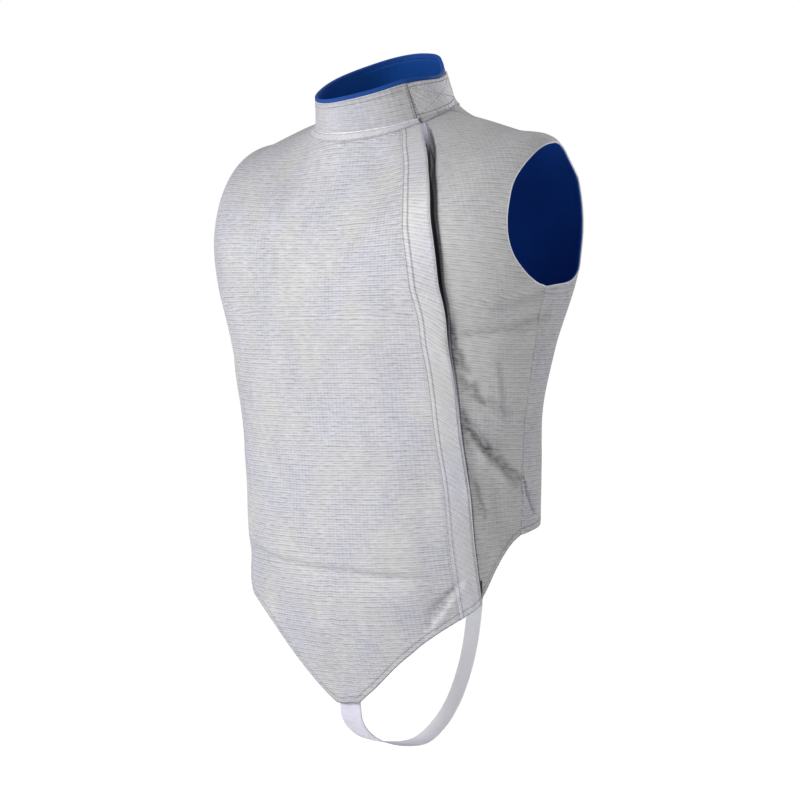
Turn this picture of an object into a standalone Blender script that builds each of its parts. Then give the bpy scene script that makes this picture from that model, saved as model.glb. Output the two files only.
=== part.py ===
"""A sleeveless fencing vest of metallic cloth, filled out as when it is worn.

Every piece that is cut and sewn is a closed wall of its own. A wall starts as a flat slab of unit size, which
is then bent onto the garment: each of its points is given a turn about the body, a station down the cloth and
a height over the cloth's outer face. The wearer faces -Y, +X is the wearer's left, and z = 0 is the level of
the points where the shoulders meet the neck.
"""

import bmesh
import bpy
import numpy as np

# Driving dimensions, in metres
CLOTH = 0.0014  # wall of a shell panel
LINING = 0.0010  # wall of a lining panel
GAP = 0.0003  # between pieces that touch
LINING_GAP = 0.0006  # between the shell and its lining, which bend round the same folds
LINING_TOP = 0.0012  # how far the lining's top edge lies below the neck seam
LINING_HEM = 0.003  # how far the lining stops above the hem
TRIM = 0.0010  # thickness of tapes and of the placket band
COLLAR_HEIGHT = 0.040
COLLAR_CLOTH = 0.0020
COLLAR_LINING_FOOT = 0.001
COLLAR_UNDERLAP = 5.0  # degrees that the collar runs under its own lapping end
COLLAR_LAP_RISE = 0.0045
BINDING_HEIGHT = 0.0048
TAB_CLOTH = 0.0016
TAB_START, TAB_END = -38.5, 48.0  # degrees, the start lying under the collar's lapping end
TAB_RISES = (0.0015, 0.039)  # the tab's lower and upper edge over the neck seam
TAB_CORNER, TAB_CORNER_HEIGHT = 0.007, 0.0056
BAND_WIDTH = 0.026
UNDERLAP = 0.014  # how far the left front runs under the lapping edge
ZIP_SHOW = 0.005  # how far the zip's left tape runs past the lapping edge
CHAIN_MIDDLE = -0.0045  # beside the lapping edge
CHAIN_WIDTH = 0.0055
CHAIN_RISE = 0.0015
SLIDER_WIDTH = 0.009
SLIDER_RISE = 0.0022
BOX_SIDES = (-0.0050, 0.0042)
TAPE_INSET = 0.0005  # from the left front's hidden edge to the tape
LAP_FLAT = 0.016  # width of the lapping edge that stands at its full height over the zip
LAP_END = 0.060  # distance from the lapping edge at which the front lies at its normal height
NECK_WAY_END = 0.035  # below this the lapping front stands off squarely to itself
STRAP_WIDTH = 0.028
STRAP_CLOTH = 0.0015
SHARP_ANGLE = 40  # degrees over which an edge is drawn sharp

# The form under the cloth, ring by ring down the garment. side, front and back are the ring's points at the
# wearer's side, centre front and centre back; squareness is the power of the ring's rounded square; dip is
# the power with which the ring's height runs from its side to its front and back. The columns are:
# station, half_width, side_y, front_y, back_y, side_z, front_z, back_z, squareness, dip
RINGS = np.array((
    (0.000, 0.079, -0.017, -0.098, 0.067, 0.004, -0.022, 0.030, 2.0, 1.0),
    (0.045, 0.114, -0.010, -0.109, 0.086, -0.004, -0.066, -0.018, 2.1, 1.5),
    (0.090, 0.158, 0.003, -0.120, 0.102, -0.018, -0.103, -0.070, 2.4, 2.0),
    (0.130, 0.199, 0.012, -0.128, 0.113, -0.031, -0.138, -0.118, 2.9, 2.0),
    (0.170, 0.216, 0.006, -0.133, 0.118, -0.095, -0.174, -0.165, 3.1, 2.0),
    (0.210, 0.211, -0.004, -0.134, 0.111, -0.170, -0.211, -0.208, 2.8, 2.0),
    (0.250, 0.195, -0.012, -0.132, 0.100, -0.250, -0.250, -0.250, 2.5, 2.0),
    (0.320, 0.183, -0.015, -0.127, 0.096, -0.320, -0.320, -0.320, 2.4, 2.0),
    (0.390, 0.180, -0.014, -0.124, 0.104, -0.390, -0.390, -0.390, 2.3, 2.0),
    (0.460, 0.176, -0.012, -0.126, 0.116, -0.460, -0.460, -0.460, 2.2, 2.0),
    (0.550, 0.176, -0.010, -0.117, 0.124, -0.550, -0.550, -0.550, 2.1, 2.0),
    (0.640, 0.172, -0.010, -0.088, 0.128, -0.640, -0.640, -0.640, 2.0, 2.0),
))
# The ring of the collar's rim has the same columns, without the station.
RIM_RING = (0.066, -0.030, -0.108, 0.048, 0.0445, 0.0150, 0.0735, 2.0, 1.0)

# The closing runs from the neck to the hem on the wearer's left front: station, then turn in degrees from +X
# towards +Y.
CLOSING = np.array((
    (0.000, -29.5),
    (0.017, -33.0),
    (0.050, -42.0),
    (0.097, -49.8),
    (0.151, -55.0),
    (0.197, -53.8),
    (0.234, -48.8),
    (0.280, -43.8),
    (0.360, -38.2),
    (0.440, -32.7),
    (0.519, -28.0),
))
CLOSING_FOOT = 0.519
# How far the lapping edge stands off: station, height
CLOSING_RISE = np.array((
    (0.000, 0.0045),
    (0.020, 0.0062),
    (0.060, 0.0080),
    (0.160, 0.0080),
    (0.280, 0.0052),
    (0.340, 0.0049),
    (0.640, 0.0049),
))

# The panels' edges on the wearer's left: shoulder seam, then armhole, then side seam, knot by knot. The
# columns are: station, turn of the front panel's edge, turn of the back panel's edge
SHOULDER_SEAM = np.array((
    (0.000, 6.0, 6.0),
    (0.045, 6.0, 6.0),
    (0.090, 6.0, 6.0),
    (0.131, 6.0, 6.0),
))
ARMHOLE = np.array((
    (0.131, 6.0, 6.0),
    (0.137, -11.0, 19.0),
    (0.147, -24.0, 30.0),
    (0.161, -31.0, 36.0),
    (0.177, -33.0, 38.5),
    (0.193, -30.0, 36.0),
    (0.207, -21.5, 27.0),
    (0.216, -10.0, 13.0),
    (0.219, -3.5, -3.5),
))
SIDE_SEAM = np.array((
    (0.219, -3.5, -3.5),
    (0.250, -3.0, -3.0),
    (0.290, -1.0, -1.0),
    (0.335, -0.5, -0.5),
    (0.380, -1.5, -1.5),
))
EDGES = (SHOULDER_SEAM, ARMHOLE, SIDE_SEAM)
HEM_KNOTS = 3  # knots from the last row of the side seam to the hem
TAPE_KNOT = 0.2  # the knot of the neck tape's lower edge

# The hem: degrees from the centre front, station on the wearer's left, station on the wearer's right
HEM = np.array((
    (0, 0.635, 0.635),
    (8, 0.634, 0.634),
    (14, 0.616, 0.615),
    (25, 0.588, 0.578),
    (37, 0.561, 0.548),
    (45, 0.546, 0.537),
    (54, 0.531, 0.528),
    (61, 0.519, 0.515),
    (66, 0.501, 0.499),
    (70, 0.485, 0.485),
    (76, 0.464, 0.465),
    (82, 0.448, 0.449),
    (90, 0.442, 0.442),
    (120, 0.444, 0.444),
    (150, 0.452, 0.452),
    (180, 0.458, 0.458),
))

# The largest folds, as soft troughs from a start to an end. The columns are:
# start turn, start station, end turn, end station, half width, depth
FOLDS = np.array((
    (-33, 0.341, -5, 0.389, 0.016, 0.0030),
    (-37, 0.286, -28, 0.314, 0.013, 0.0018),
    (-26, 0.227, 14, 0.226, 0.013, 0.0022),
    (-2, 0.386, 10, 0.430, 0.013, 0.0022),
    (-154, 0.480, -89, 0.488, 0.016, 0.0024),
    (-92, 0.488, -43, 0.492, 0.016, 0.0026),
    (-131, 0.531, -82, 0.541, 0.018, 0.0018),
    (-42, 0.494, -58, 0.545, 0.015, 0.0022),
    (-194, 0.228, -157, 0.231, 0.013, 0.0020),
    (-178, 0.395, -148, 0.345, 0.016, 0.0026),
    (38, 0.295, 82, 0.338, 0.018, 0.0024),
    (150, 0.325, 104, 0.372, 0.018, 0.0028),
    (58, 0.412, 122, 0.424, 0.017, 0.0024),
))
FOLD_RADIUS = 0.17  # turns a fold's angles into lengths
FOLD_ENDS = 0.25  # share of a fold's depth that is left at its ends

# The crotch strap where it hangs free, from the front to the back: x, y, z, twist in degrees
STRAP_HANG = np.array((
    (0.000, -0.0805, -0.6560, 0.0),
    (0.000, -0.0660, -0.6720, -2.0),
    (0.000, -0.0430, -0.6845, -6.0),
    (0.001, 0.0000, -0.6965, -11.0),
    (0.004, 0.0400, -0.6985, -16.0),
    (0.007, 0.0730, -0.6830, -20.0),
    (0.010, 0.0950, -0.6600, -22.0),
    (0.012, 0.1130, -0.6280, -22.0),
    (0.012, 0.1260, -0.5950, -21.0),
    (0.012, 0.1335, -0.5550, -17.0),
    (0.012, 0.1330, -0.5150, -8.0),
    (0.012, 0.1260, -0.4830, -2.0),
))
STRAP_FRONT_STATIONS = (0.612, 0.634)
STRAP_BACK_STATIONS = (0.457, 0.442)
STRAP_BACK_TURN = 84.5
STRAP_BACK_TWIST = -2.0
STRAP_CLEAR = 0.0010  # the strap is flat inside a curved panel
STRAP_ROWS = 30

# Colours as linear RGB, with roughness and metallic
SILVER = ((0.62, 0.62, 0.65), 0.5, 0.35)
BLUE = ((0.010, 0.055, 0.24), 0.8, 0.0)
WHITE = ((0.70, 0.69, 0.80), 0.8, 0.0)
BLACK = ((0.02, 0.02, 0.03), 0.45, 0.0)


def smooth(knots, values, at):
    """A smooth curve through values at the knots, read at the places in at."""
    at = np.clip(np.asarray(at, float), knots[0], knots[-1])
    cell = np.clip(np.searchsorted(knots, at, side="right") - 1, 0, len(knots) - 2)
    values = np.asarray(values, float).reshape(len(knots), -1)
    slopes = np.empty_like(values)
    slopes[1:-1] = (values[2:] - values[:-2]) / (knots[2:] - knots[:-2])[:, None]
    slopes[0] = (values[1] - values[0]) / (knots[1] - knots[0])
    slopes[-1] = (values[-1] - values[-2]) / (knots[-1] - knots[-2])
    length = (knots[cell + 1] - knots[cell])[..., None]
    t = (at - knots[cell])[..., None] / length
    return (
        (2 * t**3 - 3 * t**2 + 1) * values[cell]
        + (t**3 - 2 * t**2 + t) * length * slopes[cell]
        + (3 * t**2 - 2 * t**3) * values[cell + 1]
        + (t**3 - t**2) * length * slopes[cell + 1]
    )


def ease(t):
    t = np.clip(t, 0, 1)
    return t * t * (3 - 2 * t)


def between(low, high, share):
    return low + (high - low) * share


def ring_point(ring, turn):
    """The point of a ring at a turn in degrees."""
    half_width, side_y, front_y, back_y, side_z, front_z, back_z, squareness, dip = np.moveaxis(ring, -1, 0)
    cosine, sine = np.cos(np.radians(turn)), np.sin(np.radians(turn))
    reach = (np.abs(cosine) ** squareness + np.abs(sine) ** squareness) ** (-1 / squareness)
    far_y = np.where(sine < 0, front_y, back_y)
    far_z = np.where(sine < 0, front_z, back_z)
    x = half_width * cosine * reach
    y = side_y + (far_y - side_y) * np.abs(sine) * reach
    z = side_z + (far_z - side_z) * np.abs(sine) ** dip
    return np.stack((x, y, z), axis=-1)


def body_point(turn, station):
    return ring_point(smooth(RINGS[:, 0], RINGS[:, 1:], station), turn)


def collar_point(turn, rise):
    share = (rise / COLLAR_HEIGHT)[..., None]
    return ring_point(RINGS[0, 1:] * (1 - share) + np.array(RIM_RING) * share, turn)


def outward(surface, turn, down, sign=1):
    """The unit normal of a surface, on the outside."""
    step_turn, step_down = 0.5, 0.001
    across = surface(turn + step_turn, down) - surface(turn - step_turn, down)
    along = surface(turn, down + step_down) - surface(turn, down - step_down)
    normal = sign * np.cross(along, across)
    return normal / np.linalg.norm(normal, axis=-1, keepdims=True)


def fold_depth(turn, station):
    """How far the folds sink the cloth here."""
    depth = np.zeros(np.broadcast(turn, station).shape)
    for start_turn, start, end_turn, end, half_width, deepest in FOLDS:
        run = np.array((np.radians(end_turn - start_turn) * FOLD_RADIUS, end - start))
        away = (turn - start_turn + 180) % 360 - 180
        here = np.stack(np.broadcast_arrays(np.radians(away) * FOLD_RADIUS, station - start), axis=-1)
        share = np.clip(here @ run / (run @ run), 0, 1)
        distance = np.linalg.norm(here - share[..., None] * run, axis=-1)
        fade = between(FOLD_ENDS, 1, np.sin(np.pi * share))
        depth = depth + deepest * fade * np.exp(-((distance / half_width) ** 2))
    return depth


def collar_outward(turn, rise):
    return outward(collar_point, turn, rise, sign=-1)


def cloth_point(turn, station, height, lift=0.0):
    """A point at a height over the outer face of the shell, which itself stands off by lift near the closing.

    At the neck the cloth stands off the way the collar does, and lower down squarely to itself.
    """
    turn, station, height, lift = np.broadcast_arrays(turn, station, height, lift)
    square = outward(body_point, turn, station)
    neck_way = collar_outward(turn, np.zeros_like(station))
    way = between(neck_way, square, ease(station / NECK_WAY_END)[..., None])
    sunk = height - fold_depth(turn, station)
    return body_point(turn, station) + sunk[..., None] * square + lift[..., None] * way


def collar_cloth_point(turn, rise, height):
    turn, rise, height = np.broadcast_arrays(turn, rise, height)
    return collar_point(turn, rise) + height[..., None] * collar_outward(turn, rise)


def degrees_of(length, turn, station):
    """The turn that covers a length along the ring."""
    spot = body_point(turn, station)
    return np.degrees(length / np.hypot(spot[..., 0], spot[..., 1]))


def closing_turn(station):
    return smooth(CLOSING[:, 0], CLOSING[:, 1], station)[..., 0]


def hem_station(turn):
    from_front = np.abs((turn + 90 + 180) % 360 - 180)
    left, right = np.moveaxis(smooth(HEM[:, 0], HEM[:, 1:], from_front), -1, 0)
    return np.where((turn + 90 + 180) % 360 < 180, right, left)


def edges_at(knot):
    """The station and the two edge turns at each knot, down to the last knot of the side seam."""
    found = np.empty(np.shape(knot) + (3,))
    first = 0
    for table in EDGES:
        last = first + len(table) - 1
        here = (knot >= first) & ((knot <= last) | (table is SIDE_SEAM))
        found[here] = smooth(np.arange(first, last + 1.0), table, knot[here])
        first = last
    return found


# The knots at which the shoulder seam, the armhole, the side seam and the panels end, and a panel's rows
SHOULDER_END = len(SHOULDER_SEAM) - 1
ARMPIT = SHOULDER_END + len(ARMHOLE) - 1
SIDE_END = ARMPIT + len(SIDE_SEAM) - 1
LAST_KNOT = SIDE_END + HEM_KNOTS
ROW_KNOTS = np.concatenate((
    (0,),
    np.linspace(TAPE_KNOT, SHOULDER_END, 7),
    np.arange(SHOULDER_END + 1, ARMPIT + 1),
    np.linspace(ARMPIT, SIDE_END, 7)[1:],
    np.linspace(SIDE_END, LAST_KNOT, 8)[1:],
))
ROWS = len(ROW_KNOTS) - 1


def knot_of(share):
    return np.interp(share * ROWS, np.arange(ROWS + 1), ROW_KNOTS)


def station_of(knot, turn, top=0.0, hem_trim=0.0):
    """A row's station: level down to the side seam's last knot, and from there spread to the hem."""
    level = edges_at(knot)[..., 0]
    share = np.clip((knot - SIDE_END) / HEM_KNOTS, 0, 1)
    return np.maximum(level + (hem_station(turn) - hem_trim - level) * share, top)


def closing_at(knot):
    """The turn and the station of the lapping edge at a knot."""
    level = edges_at(knot)[..., 0]
    share = np.clip((knot - SIDE_END) / HEM_KNOTS, 0, 1)
    station = level + (CLOSING_FOOT - level) * share
    return closing_turn(station), station


def lap_height(turn, station, rise=None):
    """How far the right front stands off towards its lapping edge."""
    edge = closing_turn(station)
    away = np.radians(edge - turn) * np.linalg.norm(body_point(edge, station)[..., :2], axis=-1)
    if rise is None:
        rise = smooth(CLOSING_RISE[:, 0], CLOSING_RISE[:, 1], station)[..., 0]
    return rise * (1 - ease((away - LAP_FLAT) / (LAP_END - LAP_FLAT)))


def beside_closing(knot, offset):
    """The turn at an offset from the lapping edge, positive towards the wearer's left side."""
    edge, station = closing_at(knot)
    return edge + degrees_of(offset, edge, station)


PLACKET_TOP_ROW = 1.05  # just below the neck tape
RIGHT_COLUMNS, BAND_COLUMNS = 20, 2
LEFT_COLUMNS, ZIP_COLUMNS = 9, 2
BACK_COLUMNS = 20
NEAR_ARMHOLE = 2.2  # the power with which columns bend towards the armholes
COLLAR_COLUMNS, COLLAR_ROWS = 44, 3
COLLAR_BARE_COLUMNS = 2  # the lining stops short of the lapping end
TAB_COLUMNS = 14

# The first and last row of the panels that each piece of the zip covers
TAPE_ROWS = (1, ROWS - 0.55)
CHAIN_ROWS = (3, ROWS - 1.3)
SLIDER_ROWS = (2, 2.9)
BOX_ROWS = (ROWS - 1.25, ROWS - 0.62)


def side_turn(knot):
    """Where a panel's edge would run with no armhole: straight from the shoulder's tip to the armpit."""
    share = np.clip((knot - SHOULDER_END) / (ARMPIT - SHOULDER_END), 0, 1)
    past = edges_at(np.maximum(knot, ARMPIT))[..., 1]
    return np.where(share < 1, between(ARMHOLE[0, 1], ARMHOLE[-1, 1], share), past)


def right_front_turn(share, knot):
    """From the right side to the lapping edge, with the band in the last columns."""
    station, front_edge, _ = np.moveaxis(edges_at(knot), -1, 0)
    side = -180 - front_edge
    side = side + degrees_of(GAP / 2, side, station)
    plain = -180 - side_turn(knot)
    band = beside_closing(knot, -BAND_WIDTH)
    lap = beside_closing(knot, 0.0)
    start = 1 - BAND_COLUMNS / RIGHT_COLUMNS
    to_side = 1 - np.minimum(share / start, 1)
    on_panel = band + (plain - band) * to_side + (side - plain) * to_side**NEAR_ARMHOLE
    return on_panel + (lap - band) * np.clip((share - start) / (1 - start), 0, 1)


def left_front_turn(share, knot):
    """From under the lapping edge, past the zip in the first columns, to the left side."""
    station, front_edge, _ = np.moveaxis(edges_at(knot), -1, 0)
    side = front_edge - degrees_of(GAP / 2, front_edge, station)
    under = beside_closing(knot, -UNDERLAP)
    past = beside_closing(knot, ZIP_SHOW)
    first = ZIP_COLUMNS / LEFT_COLUMNS
    on_zip = under + (past - under) * np.minimum(share / first, 1)
    return on_zip + (side - past) * np.clip((share - first) / (1 - first), 0, 1)


def back_turn(share, knot):
    """From the left side across the back to the right side."""
    station, _, back_edge = np.moveaxis(edges_at(knot), -1, 0)
    left = back_edge + degrees_of(GAP / 2, back_edge, station)
    plain = side_turn(knot)
    to_side = 1 - 2 * share
    bent = (90 - plain) * np.abs(to_side) + (plain - left) * np.abs(to_side) ** NEAR_ARMHOLE
    return 90 - np.sign(to_side) * bent


def wall(name, columns, rows, bend, finish, collection):
    """A closed wall: a flat unit slab bent by bend(u, v, side); side is 0 on the inner face and 1 outside."""
    mesh = bmesh.new()
    grid = bmesh.ops.create_grid(mesh, x_segments=columns, y_segments=rows, size=0.5)
    faces = list({face for vert in grid["verts"] for face in vert.link_faces})
    bmesh.ops.solidify(mesh, geom=faces, thickness=1)
    flat = np.array([vert.co for vert in mesh.verts])
    side = np.round(flat[:, 2] - flat[:, 2].min())
    bent = bend(flat[:, 0] + 0.5, flat[:, 1] + 0.5, side)
    for vert, place in zip(mesh.verts, bent):
        vert.co = place
    if mesh.calc_volume(signed=True) < 0:
        bmesh.ops.reverse_faces(mesh, faces=mesh.faces)
    data = bpy.data.meshes.new(name)
    mesh.to_mesh(data)
    mesh.free()
    data.shade_smooth()
    data.set_sharp_from_angle(angle=np.radians(SHARP_ANGLE))
    data.materials.append(cloth_material(name, *finish))
    piece = bpy.data.objects.new(name, data)
    collection.objects.link(piece)
    return piece


def cloth_material(name, colour, roughness, metallic):
    material = bpy.data.materials.new(name)
    material.use_nodes = True
    shader = material.node_tree.nodes["Principled BSDF"]
    shader.inputs["Base Color"].default_value = (*colour, 1)
    shader.inputs["Roughness"].default_value = roughness
    shader.inputs["Metallic"].default_value = metallic
    return material


def panels(collection):
    """The three shell panels, and the lining under each."""

    def layer(name, panel_turn, columns, lined, laps, faces, trims, finish):
        def bend(u, v, side):
            knot = knot_of(v)
            turn = panel_turn(between(*lined, u) / columns, knot)
            station = station_of(knot, turn, *trims)
            lift = lap_height(turn, station) if laps else 0.0
            return cloth_point(turn, station, between(*faces, side), lift)

        wall(name, lined[1] - lined[0], ROWS, bend, finish, collection)

    under = -CLOTH - LINING_GAP
    for name, panel_turn, columns, lined, laps in (
        ("front_right", right_front_turn, RIGHT_COLUMNS, (0, RIGHT_COLUMNS - BAND_COLUMNS), True),
        ("front_left", left_front_turn, LEFT_COLUMNS, (ZIP_COLUMNS, LEFT_COLUMNS), False),
        ("back", back_turn, BACK_COLUMNS, (0, BACK_COLUMNS), False),
    ):
        panel = (panel_turn, columns)
        layer(name, *panel, (0, columns), laps, (-CLOTH, 0.0), (GAP, 0.0), SILVER)
        layer("lining_" + name, *panel, lined, laps, (under - LINING, under), (LINING_TOP, LINING_HEM), BLUE)


def placket(collection):
    """The stitched band on the lapping edge, below the neck tape, on the right front's own points."""

    def bend(u, v, side):
        knot = knot_of(between(PLACKET_TOP_ROW / ROWS, 1, v))
        share = between(1 - BAND_COLUMNS / RIGHT_COLUMNS, 1, u)
        turn = right_front_turn(share, knot)
        station = station_of(knot, turn)
        return cloth_point(turn, station, GAP + TRIM * side, lap_height(turn, station))

    wall("placket_band", BAND_COLUMNS, ROWS - 1, bend, SILVER, collection)


def neck_tape(collection):
    """Bias tape round the neckline, on the points of the three panels' first rows."""
    back_first = LEFT_COLUMNS - ZIP_COLUMNS
    right_first = back_first + BACK_COLUMNS
    columns = right_first + RIGHT_COLUMNS

    def bend(u, v, side):
        knot = TAPE_KNOT * v
        count = np.round(u * columns)
        on_left = left_front_turn((count + ZIP_COLUMNS) / LEFT_COLUMNS, knot)
        on_back = back_turn((count - back_first) / BACK_COLUMNS, knot)
        on_right = 360 + right_front_turn((count - right_first) / RIGHT_COLUMNS, knot)
        past_left = count > back_first
        past_back = count > right_first
        turn = np.where(past_back, on_right, np.where(past_left, on_back, on_left))
        station = station_of(knot, turn, top=GAP)
        lift = np.where(past_left, lap_height(turn - 360, station), 0.0)
        return cloth_point(turn, station, GAP + TRIM * side, lift)

    wall("neck_tape", columns, 1, bend, SILVER, collection)


def collar(collection):
    """The stand collar, its lining, its rim's binding and the tab under its lapping end."""
    start = CLOSING[0, 1] - COLLAR_UNDERLAP
    lap_end = CLOSING[0, 1] + 360

    def rises(turn):
        return lap_height(turn - 360, np.zeros_like(turn), rise=COLLAR_LAP_RISE) * (turn > 180)

    def strip(name, columns, rows, heights, faces, finish):
        def bend(u, v, side):
            turn = between(start, lap_end, u * columns / COLLAR_COLUMNS)
            return collar_cloth_point(turn, between(*heights, v), rises(turn) + between(*faces, side))

        wall(name, columns, rows, bend, finish, collection)

    inside = -COLLAR_CLOTH - GAP
    lined = COLLAR_COLUMNS - COLLAR_BARE_COLUMNS
    rim = (COLLAR_HEIGHT + GAP, COLLAR_HEIGHT + BINDING_HEIGHT)
    strip("collar", COLLAR_COLUMNS, COLLAR_ROWS, (GAP, COLLAR_HEIGHT), (-COLLAR_CLOTH, 0.0), SILVER)
    foot_to_rim = (COLLAR_LINING_FOOT, COLLAR_HEIGHT)
    strip("collar_lining", lined, COLLAR_ROWS, foot_to_rim, (inside - LINING, inside), BLUE)
    strip("collar_binding", COLLAR_COLUMNS, 1, rim, (inside - LINING, GAP), BLUE)

    def bend_tab(u, v, side):
        turn = between(TAB_START, TAB_END, u)
        to_end = np.radians(TAB_END - turn) * RIM_RING[0]
        inset = np.clip(1 - to_end / TAB_CORNER, 0, 1)
        margin = TAB_CORNER_HEIGHT * (1 - np.sqrt(1 - inset**2))
        rise = between(TAB_RISES[0] + margin, TAB_RISES[1] - margin, v)
        return collar_cloth_point(turn, rise, between(GAP, GAP + TAB_CLOTH, side))

    wall("collar_tab", TAB_COLUMNS, COLLAR_ROWS, bend_tab, SILVER, collection)


def zip_parts(collection):
    """Two tapes on the left front, the chain between them, the slider at the top and the box at the foot.

    Each is a ribbon between two distances from the lapping edge and two rows of the panel.
    """
    tape = (GAP, GAP + TRIM)
    over = GAP + TRIM + GAP
    chain = (CHAIN_MIDDLE - CHAIN_WIDTH / 2, CHAIN_MIDDLE + CHAIN_WIDTH / 2)
    slider = (CHAIN_MIDDLE - SLIDER_WIDTH / 2, CHAIN_MIDDLE + SLIDER_WIDTH / 2)
    for name, sides, faces, cuts, rows, finish in (
        ("zip_tape_left", (CHAIN_MIDDLE + GAP / 2, ZIP_SHOW), tape, TAPE_ROWS, ROWS - 1, WHITE),
        ("zip_tape_right", (TAPE_INSET - UNDERLAP, CHAIN_MIDDLE - GAP / 2), tape, TAPE_ROWS, ROWS - 1, WHITE),
        ("zip_chain", chain, (over, over + CHAIN_RISE), CHAIN_ROWS, ROWS - 4, BLACK),
        ("zip_slider", slider, (over, over + SLIDER_RISE), SLIDER_ROWS, 2, BLACK),
        ("zip_bottom_box", BOX_SIDES, (over, over + CHAIN_RISE), BOX_ROWS, 2, BLACK),
    ):

        def bend(u, v, side):
            knot = knot_of(between(*cuts, v) / ROWS)
            turn = between(beside_closing(knot, sides[0]), beside_closing(knot, sides[1]), u)
            return cloth_point(turn, station_of(knot, turn), between(*faces, side))

        wall(name, 1, rows, bend, finish, collection)


def crotch_strap(collection):
    """Elastic from inside the point of the front, under the wearer, to inside the middle of the back hem."""
    inside = -(CLOTH + LINING_GAP + LINING + STRAP_CLEAR + STRAP_CLOTH / 2)
    front = cloth_point(-90.0, np.array(STRAP_FRONT_STATIONS), inside)
    back = cloth_point(STRAP_BACK_TURN, np.array(STRAP_BACK_STATIONS), inside)
    route = np.concatenate((front, STRAP_HANG[:, :3], back))
    twists = np.radians(np.concatenate(((0, 0), STRAP_HANG[:, 3], (STRAP_BACK_TWIST, STRAP_BACK_TWIST))))
    lengths = np.concatenate(((0,), np.cumsum(np.linalg.norm(np.diff(route, axis=0), axis=1))))
    step = 0.001

    def bend(u, v, side):
        along = v * lengths[-1]
        centre = smooth(lengths, route, along)
        run = smooth(lengths, route, along + step) - smooth(lengths, route, along - step)
        run /= np.linalg.norm(run, axis=-1, keepdims=True)
        twist = smooth(lengths, twists, along)[..., 0]
        across = np.stack((np.cos(twist), np.sin(twist), np.zeros_like(v)), axis=-1)
        across -= (across * run).sum(axis=-1, keepdims=True) * run
        across /= np.linalg.norm(across, axis=-1, keepdims=True)
        height = STRAP_CLOTH * (side - 0.5)
        return centre + ((u - 0.5) * STRAP_WIDTH)[:, None] * across + height[:, None] * np.cross(run, across)

    wall("crotch_strap", 1, STRAP_ROWS, bend, WHITE, collection)


for old in list(bpy.data.objects):
    bpy.data.objects.remove(old)
vest = bpy.data.collections.new("fencing_vest")
bpy.context.scene.collection.children.link(vest)
panels(vest)
placket(vest)
neck_tape(vest)
collar(vest)
zip_parts(vest)
crotch_strap(vest)
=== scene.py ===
"""A foil lame: a sleeveless fencing vest of silver metallic cloth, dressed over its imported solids.

The wearer faces -Y and +X is the wearer's left. Places on the cloth are given as a turn about the body, in
degrees from +X towards +Y, and a station, in metres down the cloth from the neck seam.
"""

from itertools import combinations

import bmesh
import bpy
import numpy as np
from mathutils import Matrix


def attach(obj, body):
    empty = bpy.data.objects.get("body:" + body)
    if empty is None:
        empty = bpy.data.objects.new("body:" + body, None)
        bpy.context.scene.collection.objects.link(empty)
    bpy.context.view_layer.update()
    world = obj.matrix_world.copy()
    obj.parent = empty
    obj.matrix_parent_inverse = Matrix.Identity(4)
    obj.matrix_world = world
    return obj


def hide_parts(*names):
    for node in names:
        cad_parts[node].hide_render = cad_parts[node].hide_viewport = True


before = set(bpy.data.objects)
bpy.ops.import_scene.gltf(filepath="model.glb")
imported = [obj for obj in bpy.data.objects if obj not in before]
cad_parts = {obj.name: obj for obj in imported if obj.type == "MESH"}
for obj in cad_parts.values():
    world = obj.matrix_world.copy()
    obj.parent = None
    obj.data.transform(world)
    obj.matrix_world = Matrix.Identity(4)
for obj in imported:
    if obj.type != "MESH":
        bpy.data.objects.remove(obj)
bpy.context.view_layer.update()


def placed(name, data):
    """A new object in the scene."""
    made = bpy.data.objects.new(name, data)
    bpy.context.scene.collection.objects.link(made)
    return made


# The camera stands low, in front of the vest and to the wearer's left, and looks a little down through a long
# lens.
camera_turn, camera_distance, camera_height = np.radians(37), 2.39, -0.19
camera_pitch, camera_lens, camera_shift = np.radians(2.9), 96.8, 0.00375
camera = placed("camera", bpy.data.cameras.new("camera"))
camera.location = (
    np.sin(camera_turn) * camera_distance,
    -np.cos(camera_turn) * camera_distance,
    camera_height,
)
camera.rotation_euler = (np.pi / 2 - camera_pitch, 0, camera_turn)
camera.data.lens = camera_lens
camera.data.sensor_width = 36
camera.data.shift_x = camera_shift
bpy.context.scene.camera = camera

# A plain pale studio: a wide white floor, level with where the wearer would stand, under an even white sky,
# with one strong soft light from the vest's front and three weaker ones that keep its sides readable.
bpy.context.scene.view_settings.view_transform = "Standard"
studio_white, sky_strength, vest_middle = 1.0, 0.32, -0.3
floor_glow, floor_bounce, floor_depth, floor_radius = 0.75, 0.25, -1.45, 16.0


def soft_light(name, turn, height, distance, size, power, colour=(1, 1, 1)):
    """A square soft light that looks at the middle of the vest."""
    lamp = placed(name, bpy.data.lights.new(name, "AREA"))
    lamp.data.shape = "SQUARE"
    lamp.data.size = size
    lamp.data.energy = power
    lamp.data.color = colour
    away = np.array((np.cos(np.radians(turn)) * distance, np.sin(np.radians(turn)) * distance, height))
    lamp.location = away + np.array((0, 0, vest_middle))
    lamp.rotation_euler = (np.arctan2(distance, height), 0, np.radians(turn + 90))


soft_light("front_light", -108, 0.95, 2.6, 0.8, 54)
soft_light("left_light", -18, 0.8, 2.6, 0.9, 16, (1, 0.99, 0.955))
soft_light("right_light", -146, -0.15, 2.8, 1.4, 15)
soft_light("back_light", 90, 1.5, 3.0, 1.6, 33)

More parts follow.
